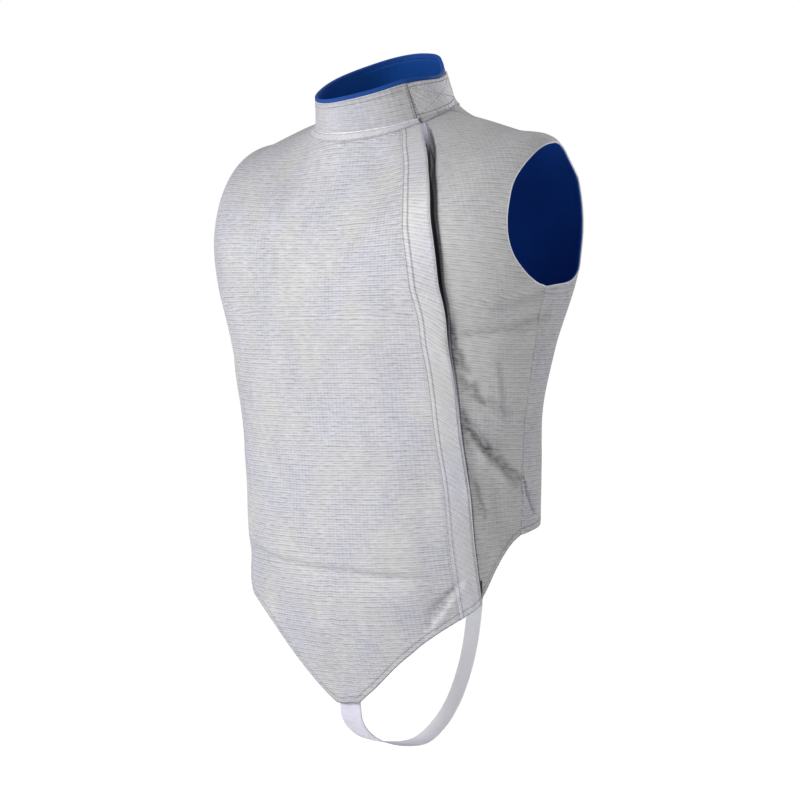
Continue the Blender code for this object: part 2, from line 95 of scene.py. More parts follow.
sky = bpy.data.worlds.new("studio_sky")
sky.use_nodes = True
sky_nodes = sky.node_tree.nodes
sky_light = sky_nodes["Background"]
sky_light.inputs["Color"].default_value = (studio_white, studio_white, studio_white, 1)
sky_light.inputs["Strength"].default_value = sky_strength
seen_sky = sky_nodes.new("ShaderNodeBackground")
seen_sky.inputs["Color"].default_value = (studio_white, studio_white, studio_white, 1)
which_ray = sky_nodes.new("ShaderNodeLightPath")
pick_sky = sky_nodes.new("ShaderNodeMixShader")
sky.node_tree.links.new(which_ray.outputs["Is Camera Ray"], pick_sky.inputs[0])
sky.node_tree.links.new(sky_light.outputs[0], pick_sky.inputs[1])
sky.node_tree.links.new(seen_sky.outputs[0], pick_sky.inputs[2])
sky.node_tree.links.new(pick_sky.outputs[0], sky_nodes["World Output"].inputs[0])
bpy.context.scene.world = sky

floor_shape = bmesh.new()
floor_place = Matrix.Translation((0, 0, floor_depth))
bmesh.ops.create_circle(floor_shape, cap_ends=True, segments=96, radius=floor_radius, matrix=floor_place)
floor = placed("studio_floor", bpy.data.meshes.new("studio_floor"))
floor_shape.to_mesh(floor.data)
floor_shape.free()
floor_paint = bpy.data.materials.new("studio_floor")
floor_paint.use_nodes = True
floor_shader = floor_paint.node_tree.nodes["Principled BSDF"]
floor_shader.inputs["Base Color"].default_value = (0.86, 0.86, 0.87, 1)
floor_shader.inputs["Roughness"].default_value = 0.9
floor_shader.inputs["Emission Strength"].default_value = floor_glow
floor_ray = floor_paint.node_tree.nodes.new("ShaderNodeLightPath")
floor_seen = floor_paint.node_tree.nodes.new("ShaderNodeMath")
floor_seen.operation = "MULTIPLY_ADD"
floor_seen.inputs[1].default_value, floor_seen.inputs[2].default_value = 1 - floor_bounce, floor_bounce
floor_paint.node_tree.links.new(floor_ray.outputs["Is Camera Ray"], floor_seen.inputs[0])
floor_paint.node_tree.links.new(floor_seen.outputs[0], floor_shader.inputs["Emission Color"])
floor.data.materials.append(floor_paint)

# The shell: two fronts and a back of silver metallic cloth, woven from polyester and fine metal thread with
# slubby cross ribs. Each is cut flat and sewn to the next at the shoulders and the sides, and the wearer's
# right front laps over the left one.
CLOTH = 0.0014
GAP = 0.0003  # between pieces that are sewn to one another
UNDERLAP = 0.014  # of the left front, under the lapping edge
ZIP_SHOW = 0.0038  # from the lapping edge to where the left front is sewn to the zip
LAP_FLAT = 0.016  # from the lapping edge, as far as the right front stands off fully
LAP_END = 0.060  # and as far as it stands off at all
COLLAR_HEIGHT = 0.040
NECK_WAY_END = 0.035  # the station from which the cloth stands off squarely to itself
FOLD_RADIUS = 0.17  # makes a turn a length, for folds and seams
FOLD_ENDS = 0.25  # the share of its depth that a fold keeps at its ends
TAPE_KNOT = 0.2
HEM_KNOTS = 3
CLOSING_FOOT = 0.519
HEM_STITCH = 0.0068  # from the hem's edge to its row of stitches
STITCH_PITCH = 0.0032

# The form under the cloth, ring by ring: station, half_width, side_y, front_y, back_y, side_z, front_z,
# back_z, squareness, dip
RINGS = np.array((
    (0.000, 0.079, -0.017, -0.098, 0.067, 0.004, -0.022, 0.030, 2.0, 1.0),
    (0.045, 0.114, -0.010, -0.109, 0.086, -0.004, -0.066, -0.018, 2.1, 1.5),
    (0.090, 0.158, 0.003, -0.120, 0.102, -0.018, -0.103, -0.070, 2.4, 2.0),
    (0.130, 0.199, 0.012, -0.128, 0.113, -0.031, -0.138, -0.118, 2.9, 2.0),
    (0.170, 0.216, 0.006, -0.133, 0.118, -0.095, -0.174, -0.165, 3.1, 2.0),
    (0.210, 0.211, -0.004, -0.134, 0.111, -0.170, -0.211, -0.208, 2.8, 2.0),
    (0.250, 0.195, -0.012, -0.132, 0.100, -0.250, -0.250, -0.250, 2.5, 2.0),
    (0.320, 0.183, -0.015, -0.127, 0.096, -0.320, -0.320, -0.320, 2.4, 2.0),
    (0.390, 0.180, -0.014, -0.124, 0.104, -0.390, -0.390, -0.390, 2.3, 2.0),
    (0.460, 0.176, -0.012, -0.126, 0.116, -0.460, -0.460, -0.460, 2.2, 2.0),
    (0.550, 0.176, -0.010, -0.117, 0.124, -0.550, -0.550, -0.550, 2.1, 2.0),
    (0.640, 0.172, -0.010, -0.088, 0.128, -0.640, -0.640, -0.640, 2.0, 2.0),
))
RIM_RING = (0.066, -0.030, -0.108, 0.048, 0.0445, 0.0150, 0.0735, 2.0, 1.0)
# How far the collar's rim sinks under that ring, where the collar slouches: turn, drop
RIM_DROP = np.array((
    (-180, 0.0050),
    (-143, 0.0066),
    (-118, 0.0060),
    (-100, 0.0050),
    (-75, 0.0028),
    (-50, 0.0012),
    (-29, 0.0008),
    (-14, 0.0035),
    (0, 0.0078),
    (15, 0.0120),
    (37, 0.0140),
    (48, 0.0115),
    (60, 0.0050),
    (85, 0.0025),
    (110, 0.0022),
    (145, 0.0035),
    (180, 0.0050),
))
NECK_PINCH = (38, 35, 0.008)  # where the neck is drawn in on the wearer's left: turn, half width, depth
NECK_PINCH_END = 0.05  # the station down to which it is

# The lapping edge: station, turn
CLOSING = np.array((
    (0.000, -29.5),
    (0.017, -32.2),
    (0.050, -39.2),
    (0.097, -48.6),
    (0.125, -53.0),
    (0.151, -54.5),
    (0.197, -52.7),
    (0.234, -47.8),
    (0.280, -42.9),
    (0.360, -37.9),
    (0.440, -32.3),
    (0.519, -28.0),
))
# How far it stands off: station, height
CLOSING_RISE = np.array((
    (0.000, 0.0045),
    (0.020, 0.0062),
    (0.060, 0.0080),
    (0.160, 0.0080),
    (0.280, 0.0052),
    (0.340, 0.0049),
    (0.640, 0.0049),
))
# The width of the stitched band on it: station, width
BAND_WIDTHS = np.array((
    (0.000, 0.0240),
    (0.100, 0.0243),
    (0.200, 0.0255),
    (0.320, 0.0285),
    (0.450, 0.0300),
    (0.640, 0.0300),
))
# Where the closing gapes and the left front sinks: how deep, how far under the lapping edge, how far past it
# at the top and lower down, the widths over which it sinks at each side, and the stations between which it
# opens, narrows and closes
GAPE_DEPTH, GAPE_UNDER, GAPE_PAST, GAPE_SLOPES = 0.0052, 0.034, (0.0085, -0.0012), (0.016, 0.0040)
GAPE_OPENS, GAPE_NARROWS, GAPE_CLOSES = (0.010, 0.045), (0.04, 0.11), (0.19, 0.28)

# The panels' edges on the wearer's left, knot by knot: station, front edge's turn, back edge's turn
SHOULDER_SEAM = np.array((
    (0.000, 6.0, 6.0),
    (0.045, 6.0, 6.0),
    (0.090, 5.5, 5.5),
    (0.131, 3.5, 3.5),
))
ARMHOLE = np.array((
    (0.131, 3.5, 3.5),
    (0.1352, -15.0, 18.0),
    (0.1440, -27.5, 30.0),
    (0.1590, -32.3, 36.0),
    (0.1770, -33.0, 38.5),
    (0.1940, -29.2, 36.0),
    (0.2072, -21.6, 27.0),
    (0.2145, -13.3, 16.0),
    (0.2178, -3.5, -3.5),
))
SIDE_SEAM = np.array((
    (0.2178, -3.5, -3.5),
    (0.250, -3.0, -3.0),
    (0.290, -1.0, -1.0),
    (0.335, -0.5, -0.5),
    (0.380, -1.5, -1.5),
))
EDGES = (SHOULDER_SEAM, ARMHOLE, SIDE_SEAM)
# The shoulder and side seams as one line, for the pinch along them: station, turn
SEAM_LINE = np.array((
    (0.045, 6.0),
    (0.09, 5.5),
    (0.13, 3.5),
    (0.20, -3.5),
    (0.25, -3.0),
    (0.335, -0.5),
    (0.38, -1.5),
))

# The hem: degrees from the centre front, station on the wearer's left and on the right
HEM = np.array((
    (0.0, 0.6365, 0.6385),
    (4.6, 0.6365, 0.6385),
    (5.6, 0.6352, 0.6372),
    (8.0, 0.6295, 0.6315),
    (14, 0.616, 0.614),
    (25, 0.588, 0.578),
    (31, 0.5745, 0.5605),
    (37, 0.561, 0.548),
    (45, 0.546, 0.537),
    (54, 0.531, 0.528),
    (61, 0.519, 0.515),
    (66, 0.501, 0.499),
    (70, 0.485, 0.485),
    (76, 0.466, 0.466),
    (81, 0.4555, 0.4555),
    (86, 0.4500, 0.4500),
    (94, 0.4470, 0.4470),
    (108, 0.4440, 0.4440),
    (120, 0.4435, 0.4435),
    (150, 0.452, 0.452),
    (180, 0.458, 0.458),
))

# The largest folds, which the solids have too: start turn, start station, end turn, end station, half width,
# depth
FOLDS = np.array((
    (-33, 0.341, -5, 0.389, 0.016, 0.0030),
    (-37, 0.286, -28, 0.314, 0.013, 0.0018),
    (-26, 0.227, 14, 0.226, 0.013, 0.0022),
    (-2, 0.386, 10, 0.430, 0.013, 0.0022),
    (-154, 0.486, -89, 0.496, 0.014, 0.0034),
    (-96, 0.495, -40, 0.500, 0.014, 0.0034),
    (-131, 0.531, -82, 0.541, 0.018, 0.0018),
    (-42, 0.494, -58, 0.545, 0.015, 0.0022),
    (10, 0.098, 30, 0.140, 0.030, 0.0050),
    (-194, 0.228, -157, 0.231, 0.013, 0.0020),
    (-178, 0.395, -148, 0.345, 0.016, 0.0026),
    (38, 0.295, 82, 0.338, 0.018, 0.0034),
    (150, 0.325, 104, 0.372, 0.018, 0.0038),
    (58, 0.412, 122, 0.424, 0.017, 0.0034),
))

# Smaller creases: the same columns, then how high the cloth stands up beside them, on the lower side where
# positive
CREASES = np.array((
    (-38, 0.322, -22, 0.362, 0.0060, 0.0050, 0.0034),
    (-30, 0.350, -4, 0.388, 0.0070, 0.0044, 0.0028),
    (-36, 0.374, -26, 0.424, 0.0050, 0.0024, 0.0018),
    (-41, 0.279, -29, 0.304, 0.0055, 0.0024, 0.0016),
    (-47, 0.236, -40, 0.268, 0.0045, 0.0020, 0.0014),
    (-44, 0.239, 8, 0.232, 0.0045, 0.0024, 0.0012),
    (-36, 0.225, 10, 0.219, 0.0040, 0.0018, -0.0010),
    (-24, 0.262, -16, 0.322, 0.0050, 0.0015, 0.0009),
    (-34, 0.296, -12, 0.316, 0.0052, 0.0018, 0.0012),
    (-4, 0.372, 3, 0.416, 0.0055, 0.0012, 0.0008),
    (1, 0.390, 11, 0.428, 0.0048, 0.0022, 0.0016),
    (-8, 0.300, 2, 0.345, 0.0070, 0.0007, 0.0004),
    (-148, 0.474, -108, 0.487, 0.0048, 0.0025, -0.0016),
    (-124, 0.484, -82, 0.490, 0.0042, 0.0028, -0.0016),
    (-98, 0.488, -44, 0.493, 0.0042, 0.0027, -0.0014),
    (-136, 0.520, -104, 0.545, 0.0080, 0.0009, 0.0006),
    (-112, 0.560, -84, 0.575, 0.0090, 0.0007, 0.0005),
    (-36, 0.488, -51, 0.542, 0.0042, 0.0034, 0.0012),
    (-42, 0.504, -55, 0.554, 0.0066, 0.0030, 0.0018),
    (-152, 0.255, -136, 0.300, 0.0090, 0.0009, 0.0006),
    (-150, 0.160, -128, 0.215, 0.0110, 0.0010, 0.0007),
    (-66, 0.085, -60, 0.150, 0.0090, 0.0006, 0.0004),
    (-177, 0.390, -156, 0.350, 0.0060, 0.0030, 0.0020),
    (170, 0.400, 160, 0.360, 0.0080, 0.0010, 0.0008),
    (-192, 0.226, -166, 0.231, 0.0050, 0.0011, 0.0006),
    (44, 0.302, 70, 0.326, 0.0065, 0.0026, 0.0018),
    (34, 0.246, 54, 0.292, 0.0070, 0.0018, 0.0012),
    (146, 0.330, 118, 0.362, 0.0065, 0.0030, 0.0020),
    (128, 0.240, 148, 0.288, 0.0070, 0.0018, 0.0012),
    (64, 0.408, 98, 0.418, 0.0058, 0.0022, 0.0016),
    (98, 0.425, 122, 0.420, 0.0062, 0.0018, 0.0012),
    (70, 0.150, 110, 0.158, 0.0120, 0.0010, 0.0006),
    (20, 0.330, 30, 0.400, 0.0090, 0.0008, 0.0005),
))

# Where the metal cloth is painted dark along its sharpest creases, partly the tarnish it has there and partly
# painted shade for the creases' own shade: start turn, start station, end turn, end station, half width,
# darkness
CREASE_SHADE_AND_TARNISH = np.array((
    (-38.5, 0.316, -36.5, 0.334, 0.0050, 0.38),
    (-38.0, 0.323, -31.0, 0.346, 0.0052, 0.46),
    (-33.0, 0.343, -24.5, 0.358, 0.0058, 0.48),
    (-25.5, 0.357, -14.0, 0.374, 0.0060, 0.38),
    (-15.5, 0.372, -4.0, 0.388, 0.0048, 0.38),
    (-36.0, 0.334, -8.0, 0.384, 0.0130, 0.18),
    (-46.5, 0.232, -42.5, 0.262, 0.0034, 0.50),
    (-42.0, 0.254, -38.0, 0.270, 0.0038, 0.32),
    (-40.0, 0.281, -34.0, 0.288, 0.0042, 0.32),
    (-43.0, 0.239, 6.0, 0.232, 0.0022, 0.17),
    (-34.0, 0.225, 8.0, 0.219, 0.0018, 0.13),
    (-25.0, 0.262, -17.0, 0.322, 0.0040, 0.13),
    (-34.0, 0.296, -13.0, 0.316, 0.0040, 0.14),
    (-28.0, 0.392, -14.0, 0.452, 0.0170, 0.12),
    (-34.5, 0.288, -30.0, 0.306, 0.0044, 0.38),
    (-36.5, 0.372, -30.5, 0.400, 0.0042, 0.24),
    (-30.5, 0.398, -26.0, 0.426, 0.0036, 0.26),
    (-33.0, 0.410, -20.0, 0.436, 0.0090, 0.12),
    (0.0, 0.384, -2.0, 0.406, 0.0012, 0.60),
    (1.0, 0.392, 6.0, 0.408, 0.0026, 0.52),
    (5.5, 0.406, 10.5, 0.426, 0.0034, 0.36),
    (-38.0, 0.494, -42.0, 0.506, 0.0028, 0.34),
    (-42.0, 0.506, -51.0, 0.542, 0.0030, 0.26),
    (-176.0, 0.390, -158.0, 0.352, 0.0050, 0.18),
    (44.0, 0.302, 68.0, 0.325, 0.0055, 0.14),
    (146.0, 0.330, 120.0, 0.360, 0.0055, 0.16),
    (66.0, 0.408, 96.0, 0.417, 0.0050, 0.10),
))


def smooth(knots, values, at):
    """A smooth curve through values at the knots, read at the places in at."""
    at = np.clip(np.asarray(at, float), knots[0], knots[-1])
    cell = np.clip(np.searchsorted(knots, at, side="right") - 1, 0, len(knots) - 2)
    values = np.asarray(values, float).reshape(len(knots), -1)
    slopes = np.empty_like(values)
    slopes[1:-1] = (values[2:] - values[:-2]) / (knots[2:] - knots[:-2])[:, None]
    slopes[0] = (values[1] - values[0]) / (knots[1] - knots[0])
    slopes[-1] = (values[-1] - values[-2]) / (knots[-1] - knots[-2])
    length = (knots[cell + 1] - knots[cell])[..., None]
    t = (at - knots[cell])[..., None] / length
    return (
        (2 * t**3 - 3 * t**2 + 1) * values[cell]
        + (t**3 - 2 * t**2 + t) * length * slopes[cell]
        + (3 * t**2 - 2 * t**3) * values[cell + 1]
        + (t**3 - t**2) * length * slopes[cell + 1]
    )


def curve(table, at):
    """The smooth curve through a table's second column over its first, read at the places in at."""
    return smooth(table[:, 0], table[:, 1], at)[..., 0]


def eased(value, start, end):
    """0 up to the start and 1 from the end on, and smooth between them."""
    t = np.clip((value - start) / (end - start), 0, 1)
    return t * t * (3 - 2 * t)


def between(low, high, share):
    return low + (high - low) * share


def wrapped(turn):
    """The same turn, from -180 to 180 degrees."""
    return (turn + 180) % 360 - 180


def bell(off):
    """1 in the middle, and next to nothing from about 2 on."""
    return np.exp(-(off**2))


def ring_point(ring, turn):
    """The point of a ring at a turn in degrees."""
    half_width, side_y, front_y, back_y, side_z, front_z, back_z, squareness, dip = np.moveaxis(ring, -1, 0)
    cosine, sine = np.cos(np.radians(turn)), np.sin(np.radians(turn))
    reach = (np.abs(cosine) ** squareness + np.abs(sine) ** squareness) ** (-1 / squareness)
    far_y = np.where(sine < 0, front_y, back_y)
    far_z = np.where(sine < 0, front_z, back_z)
    x = half_width * cosine * reach
    y = side_y + (far_y - side_y) * np.abs(sine) * reach
    z = side_z + (far_z - side_z) * np.abs(sine) ** dip
    return np.stack((x, y, z), axis=-1)


def pinched(points, turn, share):
    """The points of the neck, drawn in by a share of its pinch."""
    middle, half_width, deepest = NECK_PINCH
    depth = deepest * share * bell(wrapped(turn - middle) / half_width)
    out = np.stack(np.broadcast_arrays(np.cos(np.radians(turn)), np.sin(np.radians(turn)), 0.0), axis=-1)
    return points - depth[..., None] * out


def body_point(turn, station):
    points = ring_point(smooth(RINGS[:, 0], RINGS[:, 1:], station), turn)
    return pinched(points, turn, 1 - eased(np.asarray(station), 0, NECK_PINCH_END))


def axis_distance(turn, station):
    """How far the form is from the upright axis, which makes a turn a length."""
    return np.linalg.norm(body_point(turn, station)[..., :2], axis=-1)


def collar_point(turn, rise):
    share = rise / COLLAR_HEIGHT
    rings = RINGS[0, 1:] * (1 - share[..., None]) + np.array(RIM_RING) * share[..., None]
    points = pinched(ring_point(rings, turn), turn, 1 - np.clip(share, 0, 1))
    drop = curve(RIM_DROP, wrapped(turn))
    return points - np.stack(np.broadcast_arrays(0.0, 0.0, drop * share), axis=-1)


def outward(surface, turn, down, sign=1):
    """The unit normal of a surface, on the outside."""
    step_turn, step_down = 0.5, 0.001
    across = surface(turn + step_turn, down) - surface(turn - step_turn, down)
    along = surface(turn, down + step_down) - surface(turn, down - step_down)
    normal = sign * np.cross(along, across)
    return normal / np.linalg.norm(normal, axis=-1, keepdims=True)


def along_line(turn, station, line):
    """The share of a line that a place lies along, and how far below the line it is, in metres."""
    start_turn, start, end_turn, end = line
    run = np.array((np.radians(end_turn - start_turn) * FOLD_RADIUS, end - start))
    around = np.radians(wrapped(turn - start_turn)) * FOLD_RADIUS
    here = np.stack(np.broadcast_arrays(around, station - start), axis=-1)
    share = np.clip(here @ run / (run @ run), 0, 1)
    off = here - share[..., None] * run
    below = np.sign(run[0] if run[0] else 1) * (run[0] * here[..., 1] - run[1] * here[..., 0])
    return share, np.linalg.norm(off, axis=-1) * np.sign(below)


def recess(turn, station):
    """How far the left front sinks under and just past the lapping edge, where the closing gapes."""
    edge = closing_turn(station)
    past = np.radians(wrapped(turn - edge)) * axis_distance(edge, station)
    gape = eased(station, *GAPE_OPENS) * (1 - eased(station, *GAPE_CLOSES))
    width = between(*GAPE_PAST, eased(station, *GAPE_NARROWS))
    inner, outer = GAPE_SLOPES
    gape = gape * (1 - eased(past, width, width + outer))
    return GAPE_DEPTH * gape * eased(past, -GAPE_UNDER, inner - GAPE_UNDER)


def fold_depth(turn, station):
    """How far the folds and creases sink the cloth here."""
    depth = recess(turn, station)
    for *line, half_width, deepest in FOLDS:
        share, below = along_line(turn, station, line)
        fade = between(FOLD_ENDS, 1, np.sin(np.pi * share))
        depth = depth + deepest * fade * bell(below / half_width)
    for count, (*line, half_width, deepest, ridge) in enumerate(CREASES):
        share, below = along_line(turn, station, line)
        below = below + 0.35 * half_width * np.sin(5 * share + count)
        fade = np.sin(np.pi * share) ** 0.7 * (1 + 0.2 * np.sin(9 * share + 2 * count))
        beside = (below - np.sign(ridge) * 1.7 * half_width) / (1.2 * half_width)
        depth = depth + fade * (deepest * bell(below / half_width) - abs(ridge) * bell(beside))
    return depth + sway(turn, station)


def crease_shade_and_tarnish(turn, station):
    """How dark the cloth is painted here, with tarnish and with painted crease shade."""
    dark = np.zeros(np.shape(turn))
    for count, (*line, half_width, darkness) in enumerate(CREASE_SHADE_AND_TARNISH):
        share, below = along_line(turn, station, line)
        below = below + 0.4 * half_width * np.sin(6 * share + count)
        dark = np.maximum(dark, darkness * bell(below / half_width))
    return np.stack((dark, np.zeros_like(dark)), axis=-1)


def sway(turn, station):
    """The slow uneven waves of cloth that nothing presses flat."""
    angle = np.radians(turn)
    lower = eased(station, 0.05, 0.20)
    slow = np.sin(5 * angle + 17 * station + 0.6) * np.sin(23 * station - 2 * angle + 1.1)
    quick = np.sin(11 * angle - 31 * station + 2.0) * np.sin(47 * station + 3 * angle)
    return lower * (0.0009 * slow + 0.0004 * quick)


def collar_outward(turn, rise):
    return outward(collar_point, turn, rise, sign=-1)


def pucker(turn, station):
    """The ripple that sewing draws into the cloth beside its seams."""
    beside = np.radians(wrapped(turn - closing_turn(station))) * FOLD_RADIUS * 0.9
    band = bell((beside + band_width(station)) / 0.0075)
    band = band * np.sin(2 * np.pi * station / 0.0092 + 2 * np.sin(40 * station))
    hem = bell((hem_station(turn) - station - HEM_STITCH) / 0.0065)
    around = np.radians(turn) * FOLD_RADIUS
    hem = hem * np.sin(2 * np.pi * around / 0.0105 + 2 * np.sin(30 * around))
    seam = bell(side_seam_distance(turn, station) / 0.0034)
    seam = seam * (1 + 0.45 * np.sin(2 * np.pi * station / 0.012))
    return 0.00032 * band + 0.00035 * hem + 0.0009 * seam


def side_seam_distance(turn, station):
    """How far a place is from the shoulder and side seams, round the body."""
    edge = np.interp(station, SEAM_LINE[:, 0], SEAM_LINE[:, 1])
    off_left, off_right = np.abs(wrapped(turn - edge)), np.abs(wrapped(-180 - turn - edge))
    return np.radians(np.minimum(off_left, off_right)) * FOLD_RADIUS


def band_width(station):
    return curve(BAND_WIDTHS, station)


def cloth_point(turn, station, height, lift=0.0):
    """A point at a height over the outer face of the shell, which itself stands off by lift by the closing.

    At the neck the cloth stands off the way the collar does, and lower down squarely to itself.
    """
    turn, station, height, lift = np.broadcast_arrays(turn, station, height, lift)
    square = outward(body_point, turn, station)
    neck_way = collar_outward(turn, np.zeros_like(station))
    way = between(neck_way, square, eased(station, 0, NECK_WAY_END)[..., None])
    sunk = height - fold_depth(turn, station) - pucker(turn, station)
    return body_point(turn, station) + sunk[..., None] * square + lift[..., None] * way


def degrees_of(length, turn, station):
    """The turn that covers a length along the ring."""
    return np.degrees(length / axis_distance(turn, station))


def closing_turn(station):
    return curve(CLOSING, station)


def beside_edge(offset, station):
    """The turn at an offset from the lapping edge, positive towards the wearer's left side."""
    edge = closing_turn(station)
    return edge + degrees_of(offset, edge, station)


def hem_station(turn):
    from_front = wrapped(turn + 90)
    left, right = np.moveaxis(smooth(HEM[:, 0], HEM[:, 1:], np.abs(from_front)), -1, 0)
    return np.where(from_front < 0, right, left)


def edges_at(knot):
    """The station and the two edge turns at each knot, down to the last knot of the side seam."""
    found = np.empty(np.shape(knot) + (3,))
    first = 0
    for table in EDGES:
        last = first + len(table) - 1
        here = (knot >= first) & ((knot <= last) | (table is SIDE_SEAM))
        found[here] = smooth(np.arange(first, last + 1.0), table, knot[here])
        first = last
    return found


# The knots at which the shoulder seam, the armhole, the side seam and the panels end, and a panel's rows
SHOULDER_END = len(SHOULDER_SEAM) - 1
ARMPIT = SHOULDER_END + len(ARMHOLE) - 1
SIDE_END = ARMPIT + len(SIDE_SEAM) - 1
LAST_KNOT = SIDE_END + HEM_KNOTS
ROW_KNOTS = np.concatenate((
    (0,),
    np.linspace(TAPE_KNOT, SHOULDER_END, 7),
    np.arange(SHOULDER_END + 1, ARMPIT + 1),
    np.linspace(ARMPIT, SIDE_END, 7)[1:],
    np.linspace(SIDE_END, LAST_KNOT, 8)[1:],
))
ROWS = len(ROW_KNOTS) - 1


def knot_of(share):
    return np.interp(share * ROWS, np.arange(ROWS + 1), ROW_KNOTS)


def spread_down(knot, foot):
    """A row's station: level down to the side seam's last knot, and from there spread to a foot."""
    level = edges_at(knot)[..., 0]
    return level + (foot - level) * np.clip((knot - SIDE_END) / HEM_KNOTS, 0, 1)


def station_of(knot, turn, top=0.0, hem_trim=0.0):
    return np.maximum(spread_down(knot, hem_station(turn) - hem_trim), top)


def closing_at(knot):
    """The station of the lapping edge at a knot."""
    return spread_down(knot, CLOSING_FOOT)


def lap_height(turn, station, rise=None):
    """How far the right front stands off towards its lapping edge."""
    edge = closing_turn(station)
    away = np.radians(edge - turn) * axis_distance(edge, station)
    if rise is None:
        rise = curve(CLOSING_RISE, station)
    return rise * (1 - eased(away, LAP_FLAT, LAP_END)) + recess(turn, station)


BAND_SHARE, ZIP_SHARE = 0.09, 0.10  # the shares of a front's columns that lie on the band and over the zip
NEAR_ARMHOLE = 2.2  # the power with which columns bend towards the armholes
LEVEL_FROM = 0.17  # the station from which level ribs are level


def side_turn(knot):
    """Where a panel's edge would run with no armhole: straight from the shoulder's tip to the armpit."""
    share = np.clip((knot - SHOULDER_END) / (ARMPIT - SHOULDER_END), 0, 1)
    past = edges_at(np.maximum(knot, ARMPIT))[..., 1]
    return np.where(share < 1, between(ARMHOLE[0, 1], ARMHOLE[-1, 1], share), past)


def right_front_turn(share, knot):
    """From the right side to the lapping edge, with the band in the last columns."""
    station, front_edge, _ = np.moveaxis(edges_at(knot), -1, 0)
    side = -180 - front_edge
    side = side + degrees_of(GAP / 2, side, station)
    plain = -180 - side_turn(knot)
    level = closing_at(knot)
    band, lap = beside_edge(-band_width(level), level), closing_turn(level)
    start = 1 - BAND_SHARE
    to_side = 1 - np.minimum(share / start, 1)
    on_panel = band + (plain - band) * to_side + (side - plain) * to_side**NEAR_ARMHOLE
    return on_panel + (lap - band) * np.clip((share - start) / (1 - start), 0, 1)


def left_front_turn(share, knot):
    """From under the lapping edge, past the zip in the first columns, to the left side."""
    station, front_edge, _ = np.moveaxis(edges_at(knot), -1, 0)
    side = front_edge - degrees_of(GAP / 2, front_edge, station)
    level = closing_at(knot)
    under, past = beside_edge(-UNDERLAP, level), beside_edge(ZIP_SHOW, level)
    on_zip = under + (past - under) * np.minimum(share / ZIP_SHARE, 1)
    return on_zip + (side - past) * np.clip((share - ZIP_SHARE) / (1 - ZIP_SHARE), 0, 1)


def back_turn(share, knot):
    """From the left side across the back to the right side."""
    station, _, back_edge = np.moveaxis(edges_at(knot), -1, 0)
    left = back_edge + degrees_of(GAP / 2, back_edge, station)
    plain = side_turn(knot)
    to_side = 1 - 2 * share
    bent = (90 - plain) * np.abs(to_side) + (plain - left) * np.abs(to_side) ** NEAR_ARMHOLE
    return 90 - np.sign(to_side) * bent


def node(tree, kind, inputs=(), **settings):
    """A shader node with its inputs set or wired, given as (socket, value or output) pairs."""
    made = tree.nodes.new("ShaderNode" + kind)
    for setting, value in settings.items():
        setattr(made, setting, value)
    for socket, value in inputs:
        if isinstance(value, bpy.types.NodeSocket):
            tree.links.new(value, made.inputs[socket])
        else:
            made.inputs[socket].default_value = value
    return made


def maths(tree, operation, *values, clamp=False):
    return node(tree, "Math", enumerate(values), operation=operation, use_clamp=clamp).outputs[0]


def split(tree, vector):
    """The three parts of a vector."""
    return node(tree, "SeparateXYZ", ((0, vector),)).outputs


def sheet_layer(tree, title):
    """The two numbers that one of the sheet's layers holds for each place on it."""
    return split(tree, node(tree, "UVMap", uv_map=title).outputs[0])


def added(tree, total, *terms):
    """A total with each term added to it, given as a value and its factor."""
    for value, factor in terms:
        total = maths(tree, "MULTIPLY_ADD", value, factor, total)
    return total


def streaks(tree, u, v, across, down, detail=1.5):
    """Noise with features as fine as across per metre along u and down per metre along v, about 0.5."""
    scaled = maths(tree, "MULTIPLY", u, across), maths(tree, "MULTIPLY", v, down)
    spot = node(tree, "CombineXYZ", enumerate(scaled)).outputs[0]
    return node(tree, "TexNoise", (("Vector", spot), ("Scale", 1.0), ("Detail", detail))).outputs["Fac"]


def uneven(tree, u, v, across, down, detail=1.5):
    """The same noise, about 0."""
    return maths(tree, "SUBTRACT", streaks(tree, u, v, across, down, detail), 0.5)


def object_noise(tree, scale, detail):
    place = node(tree, "TexCoord").outputs["Object"]
    return node(tree, "TexNoise", (("Vector", place), ("Scale", scale), ("Detail", detail))).outputs["Fac"]


def colour_ramp(tree, value, *stops):
    """The colour that a value has between two or more stops, each a position and a colour."""
    ramp = node(tree, "ValToRGB", ((0, value),))
    elements = ramp.color_ramp.elements
    for element, (position, colour) in zip(elements, stops):
        element.position = position
        element.color = (*colour, 1)
    for position, colour in stops[2:]:
        elements.new(position).color = (*colour, 1)
    return ramp.outputs[0]


def new_material(name):
    """A material, with its node tree and its shader."""
    material = bpy.data.materials.new(name)
    material.use_nodes = True
    return material, material.node_tree, material.node_tree.nodes["Principled BSDF"]


def paint(tree, shader, colour, tone):
    """Gives the shader a colour times a tone."""
    shaded = node(tree, "VectorMath", ((0, colour), (1, tone)), operation="MULTIPLY")
    tree.links.new(shaded.outputs[0], shader.inputs["Base Color"])


def emboss(tree, shader, height, strength, distance):
    bump = node(tree, "Bump", (("Strength", strength), ("Distance", distance), ("Height", height)))
    tree.links.new(bump.outputs[0], shader.inputs["Normal"])


def lines(tree, along, pitch, sharpness):
    """Thin lines at a pitch, 1 on each line and 0 between them."""
    wave = maths(tree, "SINE", maths(tree, "MULTIPLY", along, 2 * np.pi / pitch))
    return maths(tree, "POWER", maths(tree, "MULTIPLY_ADD", wave, 0.5, 0.5), sharpness)


def new_group(name, sockets_in, sockets_out):
    tree = bpy.data.node_groups.new(name, "ShaderNodeTree")
    for title, kind in sockets_in:
        tree.interface.new_socket(title, in_out="INPUT", socket_type="NodeSocket" + kind)
    for title, kind in sockets_out:
        tree.interface.new_socket(title, in_out="OUTPUT", socket_type="NodeSocket" + kind)
    return tree, tree.nodes.new("NodeGroupInput").outputs, tree.nodes.new("NodeGroupOutput").inputs


